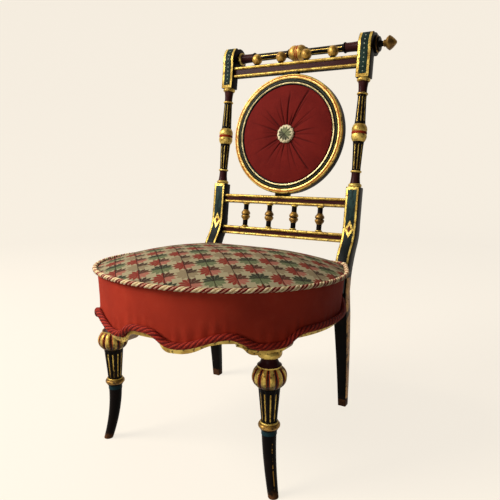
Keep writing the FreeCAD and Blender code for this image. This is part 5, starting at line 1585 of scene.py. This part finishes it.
@dataclass(frozen=True)
class SeatPlan:
    """Outline of the seat seen from above: round front, straight sides, rounded corners and bowed back."""

    radius: float = 250.0
    straight_angle: float = 112.0
    straight: float = 0.35
    corner_turn: float = 62.0
    corner: float = 0.08

    def lengths(self) -> tuple[float, float, float, float]:
        """Give the lengths of half of the outline, from the front to the back's middle, over the radius."""
        back_turn = math.radians(180 - self.straight_angle - self.corner_turn)
        corner = self.corner * math.radians(self.corner_turn)
        return math.radians(self.straight_angle), self.straight, corner, self.back_bow() * back_turn

    def way(self, turn: float) -> Vector:
        """Give the outward way at a turn from the front, in degrees."""
        return Vector((math.sin(math.radians(turn)), -math.cos(math.radians(turn)), 0))

    def along(self) -> Vector:
        """Give the way along the straight side, to the back."""
        return self.way(self.straight_angle + 90)

    def corner_middle(self) -> Vector:
        """Give the middle of a rear corner's arc, over the radius."""
        out = self.way(self.straight_angle)
        return out + self.along() * self.straight - out * self.corner

    def back_bow(self) -> float:
        """Give the radius of the bowed back, over the seat's radius."""
        after = self.straight_angle + self.corner_turn
        reach = self.corner_middle().x + self.corner * self.way(after).x
        return reach / math.sin(math.radians(180 - after))

    def length(self) -> float:
        """Give the length of the whole outline."""
        return 2 * sum(self.lengths()) * self.radius

    def from_front(self, share: float) -> float:
        """Give the length from the front at a share of the way round, over the radius."""
        return min(share % 1.0, 1 - share % 1.0) * 2 * sum(self.lengths())

    def at(self, share: float) -> tuple[Vector, Vector]:
        """Give a point of the outline.

        Args:
            share: Share of the way round from the front, to the right.

        Returns:
            The point and its outward way.
        """
        hand = 1.0 if share % 1.0 <= 0.5 else -1.0
        left = self.from_front(share)
        front, straight, corner, _ = self.lengths()
        after = self.straight_angle + self.corner_turn
        if left <= front:
            turn = math.degrees(left)
            spot = self.way(turn)
        elif left <= front + straight:
            turn = self.straight_angle
            spot = self.way(turn) + self.along() * (left - front)
        elif left <= front + straight + corner:
            turn = self.straight_angle + math.degrees((left - front - straight) / self.corner)
            spot = self.corner_middle() + self.way(turn) * self.corner
        else:
            turn = after + math.degrees((left - front - straight - corner) / self.back_bow())
            foot = self.corner_middle() + self.way(after) * (self.corner - self.back_bow())
            spot = foot + self.way(turn) * self.back_bow()
        out = self.way(turn)
        return Vector((spot.x * hand, spot.y, 0)) * self.radius, Vector((out.x * hand, out.y, 0))

    def points(self, radius: float, count: int) -> list[Vector]:
        """Give points round an outline like this one with another radius."""
        return [self.at(index / count)[0] * (radius / self.radius) for index in range(count)]

    def angle(self, share: float) -> float:
        """Give the angle from the front, in degrees, up to the end of the round front."""
        return math.degrees(self.from_front(share))


@dataclass(frozen=True)
class Cord:
    """Cord twisted of strands, each with a finish and a fullness, in millimetres."""

    node: str
    slot: str
    strands: Sequence[tuple[Finish, float]]
    diameter: float
    lay: float

    def build(self, line: Sequence[Vector]) -> bpy.types.Object:
        """Twist and place the cord.

        Args:
            line: Points of the closed line that it follows.

        Returns:
            The cord's object.
        """
        count, gone = len(line), [0.0]
        for index in range(count):
            gone.append(gone[-1] + (line[(index + 1) % count] - line[index]).length)
        turns = round(gone[-1] / self.lay)
        pack = math.sin(math.pi / len(self.strands))
        thick = self.diameter / 2 * pack / (1 + pack)
        piece = Piece(self.node + "_twisted", self.slot)
        for strand, (finish, full) in enumerate(self.strands):
            points = []
            for index in range(count):
                way = (line[(index + 1) % count] - line[index - 1]).normalized()
                up = (Vector((0, 0, 1)) - way * way.z).normalized()
                turn = -math.tau * (turns * gone[index] / gone[-1] + strand / len(self.strands))
                out = up * math.cos(turn) + way.cross(up) * math.sin(turn)
                points.append(line[index] + out * (self.diameter / 2 - thick))
            part = curved(self.node + "_strand", "POLY", points, thick * full)
            for face in part.faces:
                face.material_index = piece.number(finish)
            piece.add(part, FRAMES.seat())
        return piece.place(self.node)


@dataclass(frozen=True)
class Seat:
    """Sprung drum seat: cover, velvet band, piping, rope and the cloths underneath, in millimetres."""

    plan: SeatPlan = SeatPlan()
    crown: float = 41.0
    held_level: float = 1.2
    slope: float = 0.06847
    top: float = -0.4
    high: float = -82.7
    low: float = -103.7
    step: float = -87.7
    cord_gap: float = 0.22
    rope_lift: float = 6.3
    dust_radius: float = 214.5
    dust_level: float = -90.6
    strap_radius: float = 214.0
    strap_width: float = 50.0
    strap_pitch: float = 66.0
    strap_level: float = -86.25
    strap_thick: float = 0.55
    strap_wave: float = 0.42

    def edge(self, angle: float) -> float:
        """Give the level of the scalloped edge at an angle from the front, in degrees."""
        stops = [(0.0, self.high), (4.5, self.high), (13.0, self.low), (16.0, self.low), (36.0, self.high),
                 (39.0, self.high), (39.01, self.step), (48.0, self.low), (58.0, self.low), (66.0, self.high)]
        for (start, first), (end, last) in zip(stops, stops[1:]):
            if angle <= end:
                return first + (last - first) * ease(angle, start, end)
        return self.high

    def wall(self, share: float, level: float) -> tuple[Vector, Vector]:
        """Give a spot of the seat's sloping side at a level, and its outward way."""
        spot, out = self.plan.at(share)
        return spot * (1 + self.slope * level / self.plan.radius) + Vector((0, 0, level)), out

    def cushion(self) -> bpy.types.Object:
        """Make the crowned cushion under its printed cover."""
        piece = Piece("seat_cushion", "printed_cloth")
        piece.number(LeafCloth("leaf_cloth"))
        shape = self.plan.points(self.plan.radius, 144)
        levels = [(0.0, -5.0), (0.5, -5.0), (0.9, -5.0), (0.985, -4.5), (0.998, -2.0)]
        for share in (1 - (index / 22) ** 1.15 for index in range(23)):
            levels.append((share, 0.3 + self.crown * (1 - share ** 2.15)))
        rings = [[point * share + Vector((0, 0, level)) for point in shape] for share, level in levels]
        piece.add(loft(rings), FRAMES.seat())
        made = piece.place("seat_top_cover", "seat_stuffing", "seat_hessian")
        held = [index for index, spot in enumerate(places(made)) if spot.z < self.held_level]
        settle(made, held, pressure=4.0, cap=0.005)
        subdivided(made)
        return made

    def boxing(self) -> bpy.types.Object:
        """Make the velvet band round the seat, cut to the scallops and puckered over the rope."""
        piece = Piece("seat_boxing_velvet", "velvet")
        piece.number(Velvet("rust_velvet", shade(162, 48, 28), shade(132, 35, 21), shade(172, 64, 42)))
        part = bmesh.new()
        bmesh.ops.create_grid(part, x_segments=480, y_segments=22, size=1.0)
        length = self.plan.length()
        for vert in part.verts:
            share, up = (vert.co.x + 1) / 2 + 0.5, (vert.co.y + 1) / 2
            along = share * length
            foot = self.edge(self.plan.angle(share))
            fold = math.sin(along / 3.1 + 1.7 * math.sin(along / 23)) * math.sin(along / 47 + 0.6)
            pucker = fold * (0.9 * (1 - ease(up, 0.1, 0.5)) + 0.45 * ease(up, 0.72, 0.95))
            wave = 0.7 * math.sin(along / 29) * math.sin(math.pi * up)
            spot, out = self.wall(share, foot + (self.top - foot) * up)
            vert.co = spot + out * (pucker + wave)
        weld(part, SAME_LEVEL)
        piece.add(part, FRAMES.seat())
        made = piece.place("seat_boxing")
        steps = 720
        drops = [self.top - self.edge(self.plan.angle(index / steps)) for index in range(steps)]
        size = sum(drops) * length / steps * MM ** 2
        return (made, -self.low * MM, length * MM)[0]

    def route(self, cord: Cord, level: Callable[[float], float]) -> list[Vector]:
        """Give the line of a cord round the seat.

        Args:
            cord: The cord.
            level: Level of the line at an angle from the front.

        Returns:
            Points read from a smooth closed curve.
        """
        points, count = [], 96
        for share in (index / count for index in range(count)):
            spot, out = self.wall(share, level(self.plan.angle(share)))
            points.append(spot + out * (cord.diameter / 2 + self.cord_gap))
        part = curved(cord.node + "_route", "NURBS", points)
        found = [vert.co.copy() for vert in part.verts]
        part.free()
        return found

    def cords(self) -> None:
        """Make the piping round the rim and the rope over the apron."""
        cream = Twist("cream_thread", shade(244, 226, 182), shade(216, 190, 142))
        tan = Twist("tan_thread", shade(206, 176, 128), shade(150, 116, 78))
        pink = Twist("pink_thread", shade(226, 176, 144), shade(170, 100, 78))
        red = Twist("red_thread", shade(130, 26, 20), shade(76, 12, 11))
        dark = Twist("dark_red_thread", shade(124, 27, 19), shade(74, 11, 9))
        bright = Twist("bright_red_thread", shade(184, 62, 43), shade(140, 36, 25))
        threads = [(cream, 1.1), (tan, 0.95), (cream, 1.1), (red, 1.0), (pink, 0.9), (red, 1.0)]
        piping = Cord("seat_piping", "rim_cord", threads, diameter=9.0, lay=28.0)
        piping.build(self.route(piping, lambda angle: 0.0))
        threads = [(dark, 1.08), (bright, 1.0)] * 4
        rope = Cord("seat_rope", "twisted_cord", threads, diameter=12.0, lay=44.0)
        rope.build(self.route(rope, lambda angle: self.edge(angle) + self.rope_lift))

    def dust_cover(self) -> bpy.types.Object:
        """Make the cloth that closes the seat between the rails."""
        piece = Piece("seat_dust_cloth", "dust_cover")
        piece.number(PlainWeave("black_linen", shade(40, 38, 36), shade(22, 21, 20), pitch=1.2))
        outline = self.plan.points(self.dust_radius, 160)
        part = stretched(outline, hem=30.0, level=self.dust_level, sag=-0.2)
        size = area(part)
        piece.add(part, FRAMES.seat())
        made = piece.place("seat_dust_cover")
        box = [(max(values) - min(values)) * MM for values in list(zip(*outline))[:2]]
        return made

    def webbing(self) -> bpy.types.Object:
        """Weave the jute straps under the springs, each over and under the ones that cross it."""
        piece = Piece("seat_webbing_woven", "hessian")
        piece.number(PlainWeave("jute_webbing", shade(150, 124, 88), shade(104, 82, 54), pitch=2.4))
        outline = self.plan.points(self.strap_radius, 720)
        low, high = (Vector(corner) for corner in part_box("left_leg_block"))
        clear, back = FRAMES.seat().inverted() @ high, FRAMES.seat().inverted() @ Vector((0, high.y, low.z))
        half, gap = self.strap_width / 2, 1.0
        for crossing in (0, 1):
            for strap in range(4):
                middle = self.strap_pitch * (strap - 1.5)
                near = [point for point in outline if abs(point[crossing] - middle) < half + 2 * gap]
                first = max(point[1 - crossing] for point in near if point[1 - crossing] < 0)
                last = min(point[1 - crossing] for point in near if point[1 - crossing] > 0)
                if crossing and middle - half < back.y:
                    first, last = max(first, clear.x + gap), min(last, -clear.x - gap)
                if not crossing and abs(middle) + half > -clear.x:
                    first = max(first, back.y + gap)
                part = bmesh.new()
                bmesh.ops.create_grid(part, x_segments=60, y_segments=6, size=1.0)
                for vert in part.verts:
                    along = first + (last - first) * (vert.co.x + 1) / 2
                    side = middle + vert.co.y * half
                    turn = math.pi * (along / self.strap_pitch + 0.5 + strap + crossing)
                    level = self.strap_level + self.strap_wave * math.cos(turn)
                    vert.co = (along, side, level) if crossing else (side, along, level)
                bmesh.ops.recalc_face_normals(part, faces=part.faces)
                bmesh.ops.solidify(part, geom=part.faces, thickness=self.strap_thick)
                bmesh.ops.recalc_face_normals(part, faces=part.faces)
                piece.add(part, FRAMES.seat())
        return piece.place("seat_webbing")

    def build(self) -> None:
        """Make and place the seat's soft pieces."""
        self.cushion()
        self.boxing()
        self.cords()
        self.dust_cover()
        self.webbing()


def dress_nodes() -> None:
    """Give the CAD nodes that stay in view their finishes."""
    finishes = {
        BLACK: ("left_side_rail", "right_side_rail", "medallion_top_saddle", "medallion_bottom_saddle"),
        GILT: ("front_apron_moulding", "left_apron_moulding", "right_apron_moulding"),
        BEECH: ("front_rail", "back_seat_rail", "left_leg_block", "right_leg_block", "medallion_board"),
        STEEL: ("seat_springs", "stile_screws"),
    }
    for finish, nodes in finishes.items():
        for node in nodes:
            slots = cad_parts[node].data.materials
            slots.clear()
            slots.append(finish.material())
            log.info("%s: %s", node, finish.name)


@dataclass(frozen=True)
class Studio:
    """Seamless paper, soft lights and the camera at the photograph's angle, in metres and degrees."""

    eye: tuple[float, float, float] = (0.5808, -0.9403, 0.5850)
    yaw: float = 30.3
    pitch: float = 9.81
    lens: float = 37.226
    floor_radius: float = 3.0
    bend: float = 1.2
    wall_height: float = 6.0
    sink: float = 0.0004

    def paper(self, name: str, turn: float, floor: bool) -> bpy.types.Object:
        """Make half of a round room of paper, whose floor bends up into its wall.

        Args:
            name: Name of the half.
            turn: Where the half starts, in degrees.
            floor: Whether the whole round floor comes with it.

        Returns:
            The half room, which is no part of the chair.
        """
        part = bmesh.new()
        wall = []
        for bend in (math.pi / 2 * index / 16 for index in range(17)):
            wall.append((self.floor_radius + self.bend * math.sin(bend),
                         self.bend - self.bend * math.cos(bend) - self.sink))
        wall.append((self.floor_radius + self.bend, self.wall_height - self.sink))
        spin(part, wall, 48, math.pi)
        if floor:
            spin(part, [(0.0, -self.sink), (self.floor_radius, -self.sink)], 96)
        weld(part)
        inside = Vector((0, 0, self.wall_height / 2))
        if sum(face.normal.dot(inside - face.calc_center_median()) for face in part.faces) < 0:
            bmesh.ops.reverse_faces(part, faces=part.faces)
        bmesh.ops.rotate(part, verts=part.verts, matrix=Matrix.Rotation(math.radians(turn), 3, "Z"))
        for face in part.faces:
            face.smooth = True
        mesh = bpy.data.meshes.new(name)
        part.to_mesh(mesh)
        part.free()
        mesh.materials.append(Backdrop("warm_paper").material())
        paper = linked(name, mesh)
        paper.visible_diffuse = False
        return paper

    def light(self, name: str, spot: Sequence[float], aim: float, size: float, power: float) -> None:
        """Hang one soft light.

        Args:
            name: Name of the light.
            spot: Where it hangs.
            aim: Height over the middle of the floor that it faces.
            size: Width of its panel.
            power: Its power in watts.
        """
        lamp = bpy.data.lights.new(name, "AREA")
        lamp.shape = "DISK"
        lamp.size = size
        lamp.energy = power
        lamp.color = (1.0, 0.97, 0.92)
        made = linked(name, lamp)
        made.location = spot
        made.rotation_euler = (Vector((0, 0, aim)) - Vector(spot)).to_track_quat("-Z", "Y").to_euler()

    def build(self) -> None:
        """Set up the paper, the lights, the world and the camera."""
        self.paper("paper", self.yaw, True)
        behind = self.paper("paper_behind_camera", self.yaw + 180, False)
        behind.visible_glossy = False
        behind.visible_shadow = False
        self.light("key", (-2.1, -1.95, 2.4), 0.45, 1.9, 185.0)
        self.light("fill", (0.3, -3.0, 0.7), 0.4, 1.6, 22.0)
        self.light("top", (-0.6, 0.5, 3.0), 0.4, 1.8, 12.0)
        world = bpy.data.worlds.new("studio")
        world.use_nodes = True
        sky = world.node_tree.nodes["Background"]
        sky.inputs["Color"].default_value = (1.0, 0.965, 0.91, 1.0)
        sky.inputs["Strength"].default_value = 0.1
        bpy.context.scene.world = world
        bpy.context.scene.view_settings.view_transform = "Standard"
        camera = bpy.data.cameras.new("camera")
        camera.lens = self.lens
        camera.sensor_width = 36.0
        made = linked("camera", camera)
        made.location = self.eye
        made.rotation_euler = (math.radians(90 - self.pitch), 0, math.radians(self.yaw))
        bpy.context.scene.camera = made


def main() -> None:
    """Dress the chair piece by piece."""
    logging.basicConfig(level=logging.INFO, format="%(message)s")
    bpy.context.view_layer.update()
    for hand in Hand:
        FrontLeg(hand).build()
        Stile(hand).build()
    BeadedRail("top_rail", 27.0, 276.44).build()
    BeadedRail("upper_gallery_rail", 22.0, -48.2).build()
    BeadedRail("lower_gallery_rail", 22.0, -130.2).build()
    BackTurnings().build()
    Medallion().build()
    Seat().build()
    dress_nodes()
    Studio().build()


if __name__ == "__main__":
    main()
